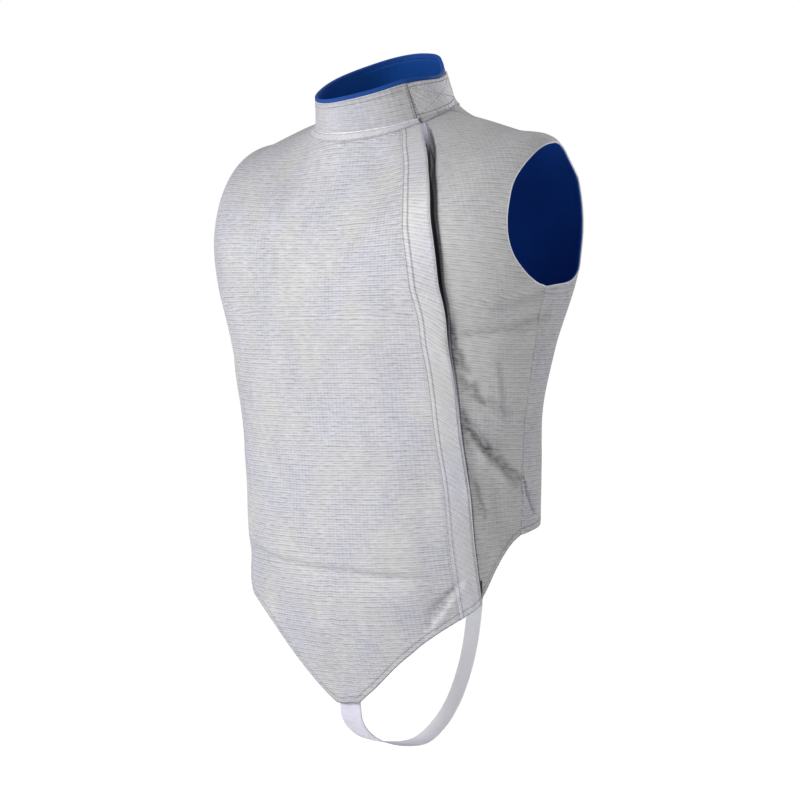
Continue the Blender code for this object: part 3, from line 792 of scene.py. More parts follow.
def metal_weave():
    """The slubby cross ribs and the finer weave between them, as a tone about 1 and a height about 0."""
    tree, given, wanted = new_group(
        "metal_weave",
        (("Spot", "Vector"), ("Contrast", "Float")),
        (("Tone", "Float"), ("Height", "Float"), ("Tint", "Float")),
    )
    u, v, _ = split(tree, given["Spot"])
    drift = maths(tree, "MULTIPLY_ADD", streaks(tree, u, v, 8, 26, 2), 0.0040, v)
    dashes = maths(tree, "MULTIPLY_ADD", streaks(tree, u, v, 75, 200), 2.4, -0.55, clamp=True)
    strong = maths(tree, "MULTIPLY", lines(tree, drift, 0.0052, 3.0), dashes)
    short = maths(tree, "MULTIPLY_ADD", streaks(tree, u, v, 110, 330), 2.2, -0.45, clamp=True)
    close = maths(tree, "MULTIPLY", lines(tree, drift, 0.0026, 1.2), short)
    slub, fine = uneven(tree, u, v, 110, 900, 2), uneven(tree, u, v, 640, 700, 2)
    upright_drift = maths(tree, "MULTIPLY_ADD", streaks(tree, u, v, 26, 8), 0.003, u)
    shown = maths(tree, "MULTIPLY_ADD", streaks(tree, u, v, 15, 12), 4.5, -1.6, clamp=True)
    wide, narrow = lines(tree, upright_drift, 0.0050, 2.0), lines(tree, upright_drift, 0.0025, 1.0)
    upright = maths(tree, "MULTIPLY", maths(tree, "ADD", wide, narrow), shown)
    patch, cloud = uneven(tree, u, v, 9, 11, 2), uneven(tree, u, v, 42, 30, 2)
    tone = added(tree, 0.21, (strong, -0.18), (close, -0.42), (slub, 0.28), (fine, 0.38))
    tone = added(tree, tone, (upright, -0.07), (patch, 0.20), (cloud, 0.16))
    height = added(tree, 0.4, (strong, -0.7), (close, -0.9), (slub, 1.2), (fine, 1.0), (upright, -0.3))
    tree.links.new(maths(tree, "MULTIPLY_ADD", tone, given["Contrast"], 1.0), wanted["Tone"])
    tree.links.new(height, wanted["Height"])
    tree.links.new(streaks(tree, u, v, 16, 13, 2), wanted["Tint"])
    return tree


def seam_groove():
    """The dip and the shade along one row of sewing, at a distance that the seams layer holds."""
    tree, given, wanted = new_group(
        "seam_groove",
        (("Distance", "Float"), ("Row", "Float"), ("Half Width", "Float")),
        (("Groove", "Float"),),
    )
    beside = maths(tree, "SUBTRACT", given["Distance"], given["Row"])
    off = maths(tree, "DIVIDE", beside, given["Half Width"])
    groove = maths(tree, "SUBTRACT", 1.0, maths(tree, "MULTIPLY", off, off), clamp=True)
    tree.links.new(groove, wanted["Groove"])
    return tree


weave_group, groove_group = metal_weave(), seam_groove()


def metal_cloth(name, grooves=(), turned=0.0, tone=1.0, contrast=1.0, worn=False, coolest=0.492):
    """Silver metallic cloth, its grain turned.

    Each groove is a row of sewing: seam axis, distance, half width, shade. Cloth that carries the sheet's
    layer of painted crease shade and tarnish is darker where it says so. The coolest patches of its colour
    hold the given blue.
    """
    material, tree, shader = new_material(name)
    spots = node(tree, "UVMap", uv_map="weave").outputs[0]
    grain = node(tree, "Mapping", ((0, spots), ("Rotation", (0, 0, turned)))).outputs[0]
    weave = node(tree, "Group", (("Spot", grain), ("Contrast", contrast)), node_tree=weave_group).outputs
    shade, height = weave["Tone"], weave["Height"]
    seams = sheet_layer(tree, "seams")
    for axis, distance, half_width, dark in grooves:
        given = (("Distance", seams[axis]), ("Row", distance), ("Half Width", half_width))
        groove = node(tree, "Group", given, node_tree=groove_group).outputs[0]
        shade = maths(tree, "MULTIPLY_ADD", groove, -dark, shade)
        height = maths(tree, "MULTIPLY_ADD", groove, -2.2, height)
    # Painted shade and tarnish: the colour is darkened along the creases, as the sheet's layer says.
    if worn:
        u, v, _ = split(tree, grain)
        patchy = maths(tree, "MULTIPLY_ADD", streaks(tree, u, v, 130, 260), 2.4, -0.2)
        dark = maths(tree, "MULTIPLY", sheet_layer(tree, "worn")[0], patchy)
        shade = maths(tree, "MULTIPLY", shade, maths(tree, "SUBTRACT", 1.0, dark))
    warm = (0.460 * tone, 0.459 * tone, 0.464 * tone)
    cool = (0.448 * tone, 0.446 * tone, coolest * tone)
    paint(tree, shader, colour_ramp(tree, weave["Tint"], (0.36, warm), (0.62, cool)), shade)
    tree.links.new(maths(tree, "MULTIPLY_ADD", height, -0.05, 0.66), shader.inputs["Roughness"])
    shader.inputs["Metallic"].default_value = 0.20
    shader.inputs["Specular IOR Level"].default_value = 0.3
    emboss(tree, shader, height, 0.55, 0.00030)
    return material


def grid_mesh(name, columns, rows):
    """The mesh of a flat grid, and where its points lie on it, from 0 to 1 each way."""
    shape = bmesh.new()
    bmesh.ops.create_grid(shape, x_segments=columns, y_segments=rows, size=0.5)
    data = bpy.data.meshes.new(name)
    shape.to_mesh(data)
    shape.free()
    flat = np.empty(len(data.vertices) * 3)
    data.vertices.foreach_get("co", flat)
    return data, flat[::3] + 0.5, flat[1::3] + 0.5


def corner_points(data):
    """The point at each corner of each face."""
    corners = np.empty(len(data.loops), int)
    data.loops.foreach_get("vertex_index", corners)
    return corners


def cloth_sheet(name, columns, rows, place, thickness, material, outside=True):
    """A thin sheet from a flat grid.

    place(u, v) gives each point, its spot in the weave, its spot by the seams and, where given, how dark it
    is painted with tarnish and crease shade.
    """
    data, u, v = grid_mesh(name, columns, rows)
    points, *layers = place(u, v)
    data.vertices.foreach_set("co", points.ravel())
    corners = corner_points(data)
    for title, spots in zip(("weave", "seams", "worn"), layers):
        layer = data.uv_layers.new(name=title)
        layer.data.foreach_set("uv", spots[corners].ravel())
    data.update()
    middles = np.array([face.center for face in data.polygons])
    normals = np.array([face.normal for face in data.polygons])
    if ((normals[:, :2] * middles[:, :2]).sum() > 0) != outside:
        data.flip_normals()
    data.shade_smooth()
    data.materials.append(material)
    piece = placed(name, data)
    wall = piece.modifiers.new("wall", "SOLIDIFY")
    wall.thickness = thickness
    wall.offset = -1
    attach(piece, "root")
    return piece


def flat_cut(panel_turn, grain_turn, slants, columns=48, rows=72):
    """Where each point of a panel lies in its flat cut, in metres.

    The grain runs down at one turn. The ribs slant by the given amounts at the panel's top and foot, or else
    lie level.
    """
    data, u, v = grid_mesh("flat_cut", columns, rows)
    i, j = np.rint(u * columns).astype(int), np.rint(v * rows).astype(int)
    knot = knot_of(j / rows)
    turn = panel_turn(i / columns, knot)
    points = body_point(turn, station_of(knot, turn))
    data.vertices.foreach_set("co", points.ravel())
    pattern = placed("flat_cut", data)
    bpy.context.view_layer.objects.active = pattern
    bpy.ops.object.mode_set(mode="EDIT")
    bpy.ops.mesh.select_all(action="SELECT")
    bpy.ops.uv.unwrap(method="MINIMUM_STRETCH", margin=0)
    bpy.ops.object.mode_set(mode="OBJECT")
    corners = corner_points(data)
    spread = np.empty(len(data.loops) * 2)
    data.uv_layers.active.data.foreach_get("uv", spread)
    grid = (rows + 1, columns + 1)
    flat, real, turns = np.empty(grid, complex), np.empty((*grid, 3)), np.empty(grid)
    flat[j[corners], i[corners]] = spread[::2] + 1j * spread[1::2]
    real[j, i], turns[j, i] = points, turn
    bpy.data.objects.remove(pattern)
    flat *= np.linalg.norm(np.diff(real, axis=0), axis=-1).sum() / np.abs(np.diff(flat, axis=0)).sum()
    waist, hip = round(0.72 * rows), round(0.95 * rows)
    middle = np.argmin(np.abs(turns[waist] - grain_turn))
    grain = flat[hip, middle] - flat[waist, middle]
    flat = 1j * (flat - flat[waist, middle]) / grain * abs(grain)
    if flat[waist, -1].real < flat[waist, 0].real:
        flat = -flat.conj()
    if slants:
        share = (flat.imag - flat.imag.min()) / np.ptp(flat.imag)
        flat -= 1j * flat.real * between(*slants, share)
    else:
        level = real[waist, middle, 2] - real[..., 2] - flat.imag
        first = np.argmax(edges_at(knot_of(np.arange(rows + 1) / rows))[:, 0] > LEVEL_FROM)
        flat += 1j * np.where(np.arange(rows + 1)[:, None] < first, level[first], level)

    def spot(u, v):
        i, j = np.clip(u * columns, 0, columns - 0.001), np.clip(v * rows, 0, rows - 0.001)
        a, b = i.astype(int), j.astype(int)
        upper = between(flat[b, a], flat[b, a + 1], i - a)
        lower = between(flat[b + 1, a], flat[b + 1, a + 1], i - a)
        place = between(upper, lower, j - b)
        return np.stack((place.real, place.imag), axis=-1)

    return spot


def seam_spot(turn, station):
    """How far a place is from the lapping edge, past it where positive, and how far above the hem."""
    edge = closing_turn(station)
    beside = np.radians(turn - edge) * axis_distance(edge, station)
    return np.stack((beside, hem_station(turn) - station), axis=-1)


# Each panel's turns, its grid, the share of it that is lined, whether it laps, and its flat cut
PANELS = {
    "front_right": (
        right_front_turn, 140, 324, (0, 1 - BAND_SHARE), True, flat_cut(right_front_turn, -90, (0.03, 0.03)),
    ),
    "front_left": (
        left_front_turn, 84, 324, (ZIP_SHARE, 1), False, flat_cut(left_front_turn, -25, (0.34, 0.04)),
    ),
    "back": (back_turn, 156, 250, (0, 1), False, flat_cut(back_turn, 90, None)),
}


def panel_place(panel_turn, lined, laps, cut, height, top, hem_trim):
    def place(u, v):
        knot = knot_of(v)
        across = between(*lined, u)
        turn = panel_turn(across, knot)
        station = station_of(knot, turn, top, hem_trim)
        lift = lap_height(turn, station) if laps else 0.0
        points = cloth_point(turn, station, height, lift)
        return points, cut(across, v), seam_spot(turn, station), crease_shade_and_tarnish(turn, station)

    return place


hem_grooves = ((1, HEM_STITCH, 0.0010, 0.25), (1, 0.0004, 0.0009, 0.20))
shell_cloth = metal_cloth("shell_cloth", hem_grooves, worn=True)
# The last groove is a painted shadow: a dark line on the left front beside the tape's outer edge, where that
# edge shades it.
left_grooves_and_tape_shadow = (*hem_grooves, (0, ZIP_SHOW - 0.0006, 0.0015, 0.62))
left_cloth = metal_cloth("left_cloth", left_grooves_and_tape_shadow, contrast=0.85, worn=True, coolest=0.462)
for side, (panel_turn, columns, rows, lined, laps, cut) in PANELS.items():
    place = panel_place(panel_turn, (0, 1), laps, cut, 0.0, GAP, 0.0)
    cloth = left_cloth if side == "front_left" else shell_cloth
    cloth_sheet("shell_" + side, columns, rows, place, CLOTH, cloth)
    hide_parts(side)

# The lining: plain blue woven polyester, cut to the shell's panels and sewn in at the neck, the armholes and
# the hem. It shows inside the armholes, the collar and the hem.
LINING = 0.0010
LINING_GAP = 0.0006
LINING_TOP = 0.0012
LINING_HEM = 0.003


def dyed_cloth(name, colour, roughness, thread=0.0009, gloss=0.5):
    """Plain dyed cloth, in a fine even weave with a little unevenness of dye."""
    material, tree, shader = new_material(name)
    u, v, _ = sheet_layer(tree, "weave")
    weave = maths(tree, "MULTIPLY", lines(tree, v, thread, 1.0), lines(tree, u, thread, 1.0))
    fine = uneven(tree, u, v, 420, 520)
    tone = added(tree, 0.90, (weave, 0.24), (uneven(tree, u, v, 22, 30, 3), 0.30), (fine, 0.24))
    paint(tree, shader, colour, tone)
    tree.links.new(maths(tree, "MULTIPLY_ADD", fine, 0.12, roughness), shader.inputs["Roughness"])
    shader.inputs["Specular IOR Level"].default_value = gloss
    emboss(tree, shader, maths(tree, "ADD", weave, maths(tree, "MULTIPLY", fine, 0.5)), 0.4, 0.00018)
    return material


lining_blue = dyed_cloth("lining_blue", (0.0035, 0.068, 0.38), 0.80, gloss=0.15)
for side, (panel_turn, columns, rows, lined, laps, cut) in PANELS.items():
    place = panel_place(panel_turn, lined, laps, cut, -CLOTH - LINING_GAP, LINING_TOP, LINING_HEM)
    columns //= 2 if laps else 3
    cloth_sheet("blue_lining_" + side, columns, rows, place, LINING, lining_blue)
    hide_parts("lining_" + side)

# The placket: a strip of the same metallic cloth, cut on another grain, its tone raised as painted light, and
# sewn down with two rows along its inner side and one along the lapping edge.
TRIM = 0.0010
BAND_ROWS = (0.0012, 0.0060)  # of sewing, from the band's inner edge
BAND_FOLD = 0.0283  # from the same edge to the shade by the lapping edge
EDGE_ROW = 0.0017  # of sewing, from the lapping edge


def placket_place(u, v):
    knot = knot_of(between(1.05 / ROWS, 1, v))
    turn = right_front_turn(between(1 - BAND_SHARE, 1, u), knot)
    station = station_of(knot, turn)
    width = band_width(station)
    seams = np.stack((u * width, hem_station(turn) - station), axis=-1)
    beside = np.stack((u * width, station), axis=-1)
    return cloth_point(turn, station, GAP + TRIM, lap_height(turn, station)), beside, seams


# Painted light: the band's tone is raised over the shell cloth's.
band_cloth_lightened = metal_cloth(
    "band_cloth_lightened",
    (*((0, row, 0.0011, 0.30) for row in BAND_ROWS), (0, BAND_FOLD, 0.0010, 0.20), *hem_grooves),
    turned=np.radians(-32),
    tone=1.14,
    contrast=0.65,
)
band = cloth_sheet("placket_strip", 18, 300, placket_place, TRIM, band_cloth_lightened)
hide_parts("placket_band")

# The neck tape: a narrow strip of the cloth on the bias, which covers the seam between the body and the
# collar.
TAPE_FOOT = 0.0092
TAPE_TUCK = (8, 32, 0.0052)  # where it is tucked up under the tab: turn, half width, height
TAPE_LENGTH = 0.52
TAPE_ROWS = (0.0012, 0.0080)  # of sewing


def tape_foot(turn):
    """The station of the tape's lower edge, which is tucked up under the tab."""
    middle, half_width, tuck = TAPE_TUCK
    return TAPE_FOOT - tuck * np.exp(-((wrapped(turn - middle) / half_width) ** 4))


def neck_tape_place(u, v):
    start = closing_turn(np.zeros_like(u))
    start, end = start + degrees_of(ZIP_SHOW, start, 0.0 * u), start + 360
    station = between(GAP, tape_foot(between(start, end, u)), v)
    edge = closing_turn(station)
    turn = between(edge + start - end + 360, edge + 360, u)
    lift = np.where(turn > 180, lap_height(turn - 360, station), 0.0)
    seams = np.stack((between(0, TAPE_FOOT, v), u), axis=-1)
    return cloth_point(turn, station, GAP + TRIM, lift), np.stack((u * TAPE_LENGTH, station), axis=-1), seams


tape_groove = (0, TAPE_ROWS[1], 0.0009, 0.22)
# Its tone is raised over the shell cloth's: painted light for a strip that tilts down into shade.
tape_cloth_lightened = metal_cloth("tape_cloth_lightened", (tape_groove,), turned=np.radians(42), tone=1.15, contrast=0.6)
neck_tape = cloth_sheet("neck_bias_tape", 380, 8, neck_tape_place, TRIM, tape_cloth_lightened)
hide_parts("neck_tape")

# The collar: a stiff stand collar of the metallic cloth, lined in blue and bound along its rim with blue
# tape. Its right end laps over its left one, where a wide tab with hook tape under it is sewn on with a
# crossed box.
COLLAR_CLOTH = 0.0020
COLLAR_UNDERLAP = 5.0  # degrees of its left end that lie under the right one
COLLAR_LAP_RISE = 0.0045
COLLAR_LEAN = 3.2  # degrees that its end leans forward over its height
RIM_ROW = 0.0335  # of sewing, from the collar's foot
BINDING_HEIGHT = 0.0048
TAB_CLOTH = 0.0016
TAB_START, TAB_END = -38.5, 48.0
TAB_RISES = (0.0015, 0.039)
TAB_CORNER, TAB_CORNER_HEIGHT = 0.007, 0.0056
TAB_LENGTH = 0.138
BOX_TURNS, BOX_RISES = (-26.5, 33.0), (0.0050, 0.0355)  # of the sewn box on the tab
# The rows of sewing and the turned edges as grooves: axis, where 0 is along the collar from its right end or
# the tab's free end and 1 is up from the foot, distance, half width, shade. The last, with a negative shade,
# is a
# painted highlight: a pale line just under the binding.
COLLAR_GROOVES_AND_HIGHLIGHT = (
    (0, 0.0002, 0.0010, 0.55),
    (0, 0.0022, 0.0009, 0.22),
    (1, RIM_ROW, 0.0009, 0.12),
    (1, 0.0378, 0.0010, 0.12),
    # Painted highlight under the binding
    (1, 0.0396, 0.0008, -0.22),
)
TAB_GROOVES = (
    (1, BOX_RISES[0], 0.0009, 0.2),
    (1, BOX_RISES[1], 0.0009, 0.2),
    (0, 0.0173, 0.0009, 0.2),
    (0, 0.0858, 0.0009, 0.2),
)
collar_start, collar_end = CLOSING[0, 1] - COLLAR_UNDERLAP, CLOSING[0, 1] + 360


def collar_rise(turn):
    """How far the collar's lapping end stands off."""
    return lap_height(turn - 360, np.zeros_like(turn), rise=COLLAR_LAP_RISE) * (turn > 180)


def collar_sway(turn, rise):
    """The collar's slight waves, and the ripple beside its sewing."""
    angle = np.radians(turn)
    slow = 0.0006 * np.sin(4 * angle + 1.0) * np.sin(60 * rise + 2 * angle)
    quick = 0.00022 * np.sin(61 * angle + 2 * np.sin(7 * angle)) * bell((rise - 0.034) / 0.005)
    foot = 0.00025 * np.sin(53 * angle) * bell(rise / 0.005)
    return slow + quick + foot


def collar_spot(turn, rise, height):
    turn, rise, height = np.broadcast_arrays(turn, rise, height)
    stand = height + collar_sway(turn, rise)
    return collar_point(turn, rise) + stand[..., None] * collar_outward(turn, rise)


def collar_strip(name, columns, rows, end, heights, height, thickness, material):
    def place(u, v):
        rise = between(*heights, v)
        leaned = COLLAR_LEAN * rise / COLLAR_HEIGHT
        turn = between(collar_start, end + leaned, u)
        to_end = np.radians(collar_end + leaned - turn) * RIM_RING[0]
        weave = np.stack((np.radians(turn) * RIM_RING[0], rise), axis=-1)
        return collar_spot(turn, rise, collar_rise(turn) + height), weave, np.stack((to_end, rise), axis=-1)

    return cloth_sheet(name, columns, rows, place, thickness, material)


collar_cloth = metal_cloth("collar_cloth", COLLAR_GROOVES_AND_HIGHLIGHT, turned=np.radians(4), contrast=0.75)
collar = collar_strip(
    "stand_collar", 330, 28, collar_end, (GAP, COLLAR_HEIGHT), 0.0, COLLAR_CLOTH, collar_cloth
)
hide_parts("collar")

inside = -COLLAR_CLOTH - GAP
lined_end = collar_end - 2 / 44 * (collar_end - collar_start)
collar_blue = dyed_cloth("collar_blue", (0.0035, 0.056, 0.265), 0.80, gloss=0.15)
collar_lining = collar_strip(
    "blue_collar_lining", 220, 14, lined_end, (0.001, COLLAR_HEIGHT), inside, LINING, collar_blue
)
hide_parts("collar_lining")

binding_blue = dyed_cloth("binding_blue", (0.0055, 0.060, 0.29), 0.75, thread=0.0012, gloss=0.25)
binding_height = (COLLAR_HEIGHT + GAP, COLLAR_HEIGHT + BINDING_HEIGHT)
binding = collar_strip(
    "blue_rim_binding", 330, 8, collar_end, binding_height, GAP, GAP - inside + LINING, binding_blue
)
rounded = binding.modifiers.new("rounded", "BEVEL")
rounded.width = 0.0009
rounded.segments = 2
rounded.limit_method = "ANGLE"
rounded.angle_limit = np.radians(50)
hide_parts("collar_binding")


def tab_place(u, v):
    turn = between(TAB_START, TAB_END, u)
    to_end = np.radians(TAB_END - turn) * RIM_RING[0]
    inset = np.clip(1 - to_end / TAB_CORNER, 0, 1)
    margin = TAB_CORNER_HEIGHT * (1 - np.sqrt(1 - inset**2))
    rise = between(TAB_RISES[0] + margin, TAB_RISES[1] - margin, v)
    crumple = 0.00035 * np.sin(7.0 * u + 5.0 * v) * np.sin(11.0 * v - 9.0 * u)
    spot = np.stack((u * TAB_LENGTH, rise), axis=-1)
    return collar_spot(turn, rise, GAP + TAB_CLOTH + crumple), spot, np.stack((to_end, rise), axis=-1)


# Its tone is raised well over the shell cloth's: painted light for a tab that turns away into shade.
tab_cloth_lightened = metal_cloth("tab_cloth_lightened", TAB_GROOVES, turned=np.radians(38), tone=1.32)
tab = cloth_sheet("collar_tab_cloth", 110, 36, tab_place, TAB_CLOTH, tab_cloth_lightened)
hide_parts("collar_tab")

# The zip: two tapes of pale woven polyester sewn to the left front, a moulded black chain between them, and
# the slider and the box at its ends. It is closed, under the placket.
CHAIN_MIDDLE = -0.0045
CHAIN_RISE = 0.0015
TOOTH_PITCH, TOOTH_WIDTH, TOOTH_LENGTH = 0.0024, 0.0029, 0.0013
TOOTH_OFFSET = 0.0013  # of each row of teeth from the chain's middle
SLIDER_WIDTH, SLIDER_LENGTH, SLIDER_RISE, SLIDER_TAPER = 0.0078, 0.0150, 0.0022, 0.28
BOX_SIDES, BOX_LENGTH = (-0.0050, 0.0037), 0.0140
TAPE_STATIONS, CHAIN_STATIONS = (0.0095, 0.508), (0.051, 0.494)
# Where the outer tape's edge shows past the lapping edge: station, distance
TAPE_EDGE = (
    (0.0095, 0.0075),
    (0.030, 0.0060),
    (0.050, 0.0035),
    (0.065, 0.0012),
    (0.090, -0.0020),
    (0.130, -0.0008),
    (0.155, 0.0006),
    (0.175, 0.0018),
    (0.205, 0.0026),
    (0.250, 0.0022),
    (0.508, 0.0022),
)
SLIDER_STATIONS, BOX_STATIONS = (0.031, 0.049), (0.494, 0.5065)
OVER_TAPE = GAP + TRIM + GAP


def ribbon(name, columns, rows, sides, stations, top, thickness, material, node_name):
    """A strip of the zip, between two stations and two distances from the lapping edge.

    The second distance is read along the strip from a table.
    """

    def place(u, v):
        station = between(*stations, v)
        across = between(sides[0], np.interp(station, *np.transpose(sides[1])), u)
        turn = beside_edge(across, station)
        spot = np.stack((across, station), axis=-1)
        return cloth_point(turn, station, top), spot, spot

    piece = cloth_sheet(name, columns, rows, place, thickness, material)
    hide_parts(node_name)
    return piece


def tape_cloth_in_shade():
    """The tape's weave, pale at its two ends and painted dark between them: a painted shadow of the lapping
    edge where the closing gapes.
    """
    material = dyed_cloth("zip_lavender_shaded", (0.78, 0.76, 0.96), 0.75, thread=0.0008)
    tree = material.node_tree
    shader = tree.nodes["Principled BSDF"]
    # Painted shadow: the tape's colour is darkened along the stations where the lapping edge shades it.
    down = maths(tree, "MULTIPLY", sheet_layer(tree, "weave")[1], 2.0)
    stops = ((0.05, 1.0), (0.12, 0.07), (0.40, 0.07), (0.52, 0.35), (0.66, 1.0))
    dark = colour_ramp(tree, down, *((position, (value, value, value)) for position, value in stops))
    paint(tree, shader, shader.inputs["Base Color"].links[0].from_socket, dark)
    return material


zip_lavender_shaded = tape_cloth_in_shade()
left_tape = ribbon(
    "zip_tape_outer", 10, 250, (CHAIN_MIDDLE + GAP / 2, TAPE_EDGE), TAPE_STATIONS, GAP + TRIM, TRIM,
    zip_lavender_shaded, "zip_tape_left",
)
right_tape = ribbon(
    "zip_tape_inner", 8, 250, (0.0005 - UNDERLAP, ((0, CHAIN_MIDDLE - GAP / 2),)), TAPE_STATIONS,
    GAP + TRIM, TRIM, zip_lavender_shaded, "zip_tape_right",
)


def moulded_black():
    """Black moulded zip, semi-matt with a fine grain and worn paler on its high points."""
    material, tree, shader = new_material("moulded_black")
    grain, wear = object_noise(tree, 900.0, 2.0), object_noise(tree, 70.0, 2.0)
    colour = colour_ramp(tree, wear, (0, (0.006, 0.006, 0.008)), (1, (0.030, 0.030, 0.036)))
    tree.links.new(colour, shader.inputs["Base Color"])
    tree.links.new(maths(tree, "MULTIPLY_ADD", grain, 0.25, 0.28), shader.inputs["Roughness"])
    emboss(tree, shader, grain, 0.3, 0.0001)
    return material


def at_spot(turn, station, height):
    """A frame on the cloth: its origin, and its directions across, down and out."""
    step_turn, step_down = 0.4, 0.001
    spot = cloth_point(turn, station, height)
    downward = cloth_point(turn, station + step_down, height) - spot
    across = cloth_point(turn + step_turn, station, height) - spot
    out = np.cross(downward, across)
    out /= np.linalg.norm(out, axis=-1, keepdims=True)
    downward /= np.linalg.norm(downward, axis=-1, keepdims=True)
    return spot, np.cross(out, downward), downward, out


def frame_matrix(spot, axes, sizes):
    matrix = Matrix.Identity(4)
    for row in range(3):
        matrix[row] = (*(axis[row] * size for axis, size in zip(axes, sizes)), spot[row])
    return matrix


def round_edges(shape, vertices, width, segments):
    edges = list({edge for vert in vertices for edge in vert.link_edges})
    bmesh.ops.bevel(
        shape, geom=edges, offset=width, segments=segments, profile=0.5, affect="EDGES", material=-1
    )


def small_parts(name, material):
    """Starts a piece that many small shapes are added to, and returns it with the call that finishes it."""
    shape = bmesh.new()

    def finish():
        bmesh.ops.recalc_face_normals(shape, faces=shape.faces)
        data = bpy.data.meshes.new(name)
        shape.to_mesh(data)
        shape.free()
        data.shade_smooth()
        data.set_sharp_from_angle(angle=np.radians(45))
        data.materials.append(material)
        piece = placed(name, data)
        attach(piece, "root")
        return piece

    return shape, finish


zip_black = moulded_black()
teeth_shape, finish_teeth = small_parts("zip_teeth", zip_black)
tooth_stations = np.arange(CHAIN_STATIONS[0], CHAIN_STATIONS[1], TOOTH_PITCH)
for offset, shift in ((-TOOTH_OFFSET, 0.0), (TOOTH_OFFSET, 0.5)):
    stations = tooth_stations + shift * TOOTH_PITCH
    turns = beside_edge(CHAIN_MIDDLE + offset, stations)
    spots, across, downs, outs = at_spot(turns, stations, OVER_TAPE + CHAIN_RISE / 2)
    for spot, *axes in zip(spots, across, downs, outs):
        place = frame_matrix(spot, axes, (TOOTH_WIDTH, TOOTH_LENGTH, CHAIN_RISE))
        tooth = bmesh.ops.create_cube(teeth_shape, size=1, matrix=place)
        round_edges(teeth_shape, tooth["verts"], 0.0003, 1)
zip_teeth = finish_teeth()
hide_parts("zip_chain")

slider_shape, finish_slider = small_parts("zip_slider_body", zip_black)
middle_station = sum(SLIDER_STATIONS) / 2
spot, *axes = at_spot(beside_edge(CHAIN_MIDDLE, middle_station), middle_station, OVER_TAPE + SLIDER_RISE / 2)
place = frame_matrix(spot, axes, (SLIDER_WIDTH, SLIDER_LENGTH, SLIDER_RISE))
body = bmesh.ops.create_cube(slider_shape, size=1, matrix=place)
for vert in body["verts"]:
    from_middle = np.array(vert.co) - spot
    if from_middle @ axes[1] > 0:  # the lower end is narrower
        vert.co = spot + from_middle - SLIDER_TAPER * (from_middle @ axes[0]) * axes[0]
round_edges(slider_shape, body["verts"], 0.0007, 3)
# The low round post on its upper half
post = frame_matrix(spot + axes[2] * 0.0014 - axes[1] * 0.003, axes, (1, 1, 1))
bmesh.ops.create_cone(
    slider_shape, cap_ends=True, segments=20, radius1=0.0026, radius2=0.0022, depth=0.0010, matrix=post
)
slider = finish_slider()
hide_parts("zip_slider")

box_shape, finish_box = small_parts("zip_box_body", zip_black)
middle_station = sum(BOX_STATIONS) / 2
box_middle, box_width = sum(BOX_SIDES) / 2, BOX_SIDES[1] - BOX_SIDES[0]
spot, *axes = at_spot(beside_edge(box_middle, middle_station), middle_station, OVER_TAPE + CHAIN_RISE / 2)
place = frame_matrix(spot, axes, (box_width, BOX_LENGTH, CHAIN_RISE))
body = bmesh.ops.create_cube(box_shape, size=1, matrix=place)
round_edges(box_shape, body["verts"], 0.0005, 3)
box = finish_box()
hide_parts("zip_bottom_box")

# The crotch strap: one length of white knitted elastic, sewn inside the front's point and inside the back
# hem.
LINING_CLEAR = 0.0010
STRAP_WIDTH = 0.028
STRAP_CLOTH = 0.0015
# Where it hangs free: x, y, z, twist in degrees
STRAP_HANG = np.array((
    (0.000, -0.0805, -0.6560, 0.0),
    (0.000, -0.0660, -0.6720, -2.0),
    (0.000, -0.0430, -0.6845, -6.0),
    (0.001, 0.0000, -0.6965, -11.0),
    (0.004, 0.0400, -0.6985, -16.0),
    (0.007, 0.0730, -0.6830, -20.0),
    (0.010, 0.0950, -0.6600, -22.0),
    (0.012, 0.1130, -0.6280, -22.0),
    (0.012, 0.1260, -0.5950, -21.0),
    (0.012, 0.1335, -0.5550, -17.0),
    (0.012, 0.1330, -0.5150, -8.0),
    (0.012, 0.1260, -0.4830, -2.0),
))
STRAP_FRONT_STATIONS = (0.612, 0.634)
STRAP_BACK_STATIONS = (0.457, 0.442)
STRAP_BACK_TURN, STRAP_BACK_TWIST = 84.5, -2.0
strap_depth = -(CLOTH + LINING_GAP + LINING + LINING_CLEAR + STRAP_CLOTH / 2)
strap_route = np.concatenate((
    cloth_point(-90.0, np.array(STRAP_FRONT_STATIONS), strap_depth),
    STRAP_HANG[:, :3],
    cloth_point(STRAP_BACK_TURN, np.array(STRAP_BACK_STATIONS), strap_depth),
))
strap_twists = np.radians(np.concatenate(((0, 0), STRAP_HANG[:, 3], (STRAP_BACK_TWIST, STRAP_BACK_TWIST))))
strap_lengths = np.concatenate(((0,), np.cumsum(np.linalg.norm(np.diff(strap_route, axis=0), axis=1))))


def strap_place(u, v):
    along = v * strap_lengths[-1]
    step = 0.001
    centre = smooth(strap_lengths, strap_route, along)
    run = smooth(strap_lengths, strap_route, along + step) - smooth(strap_lengths, strap_route, along - step)
    run /= np.linalg.norm(run, axis=-1, keepdims=True)
    twist = smooth(strap_lengths, strap_twists, along)[..., 0]
    across = np.stack((np.cos(twist), np.sin(twist), np.zeros_like(v)), axis=-1)
    across -= (across * run).sum(axis=-1, keepdims=True) * run
    across /= np.linalg.norm(across, axis=-1, keepdims=True)
    out = np.cross(run, across)
    side = (u - 0.5) * STRAP_WIDTH
    cupped = 0.0006 * (4 * (u - 0.5) ** 2) * np.sin(np.pi * v)
    spot = np.stack((side, along), axis=-1)
    return centre + side[:, None] * across + (STRAP_CLOTH / 2 + cupped)[:, None] * out, spot, spot


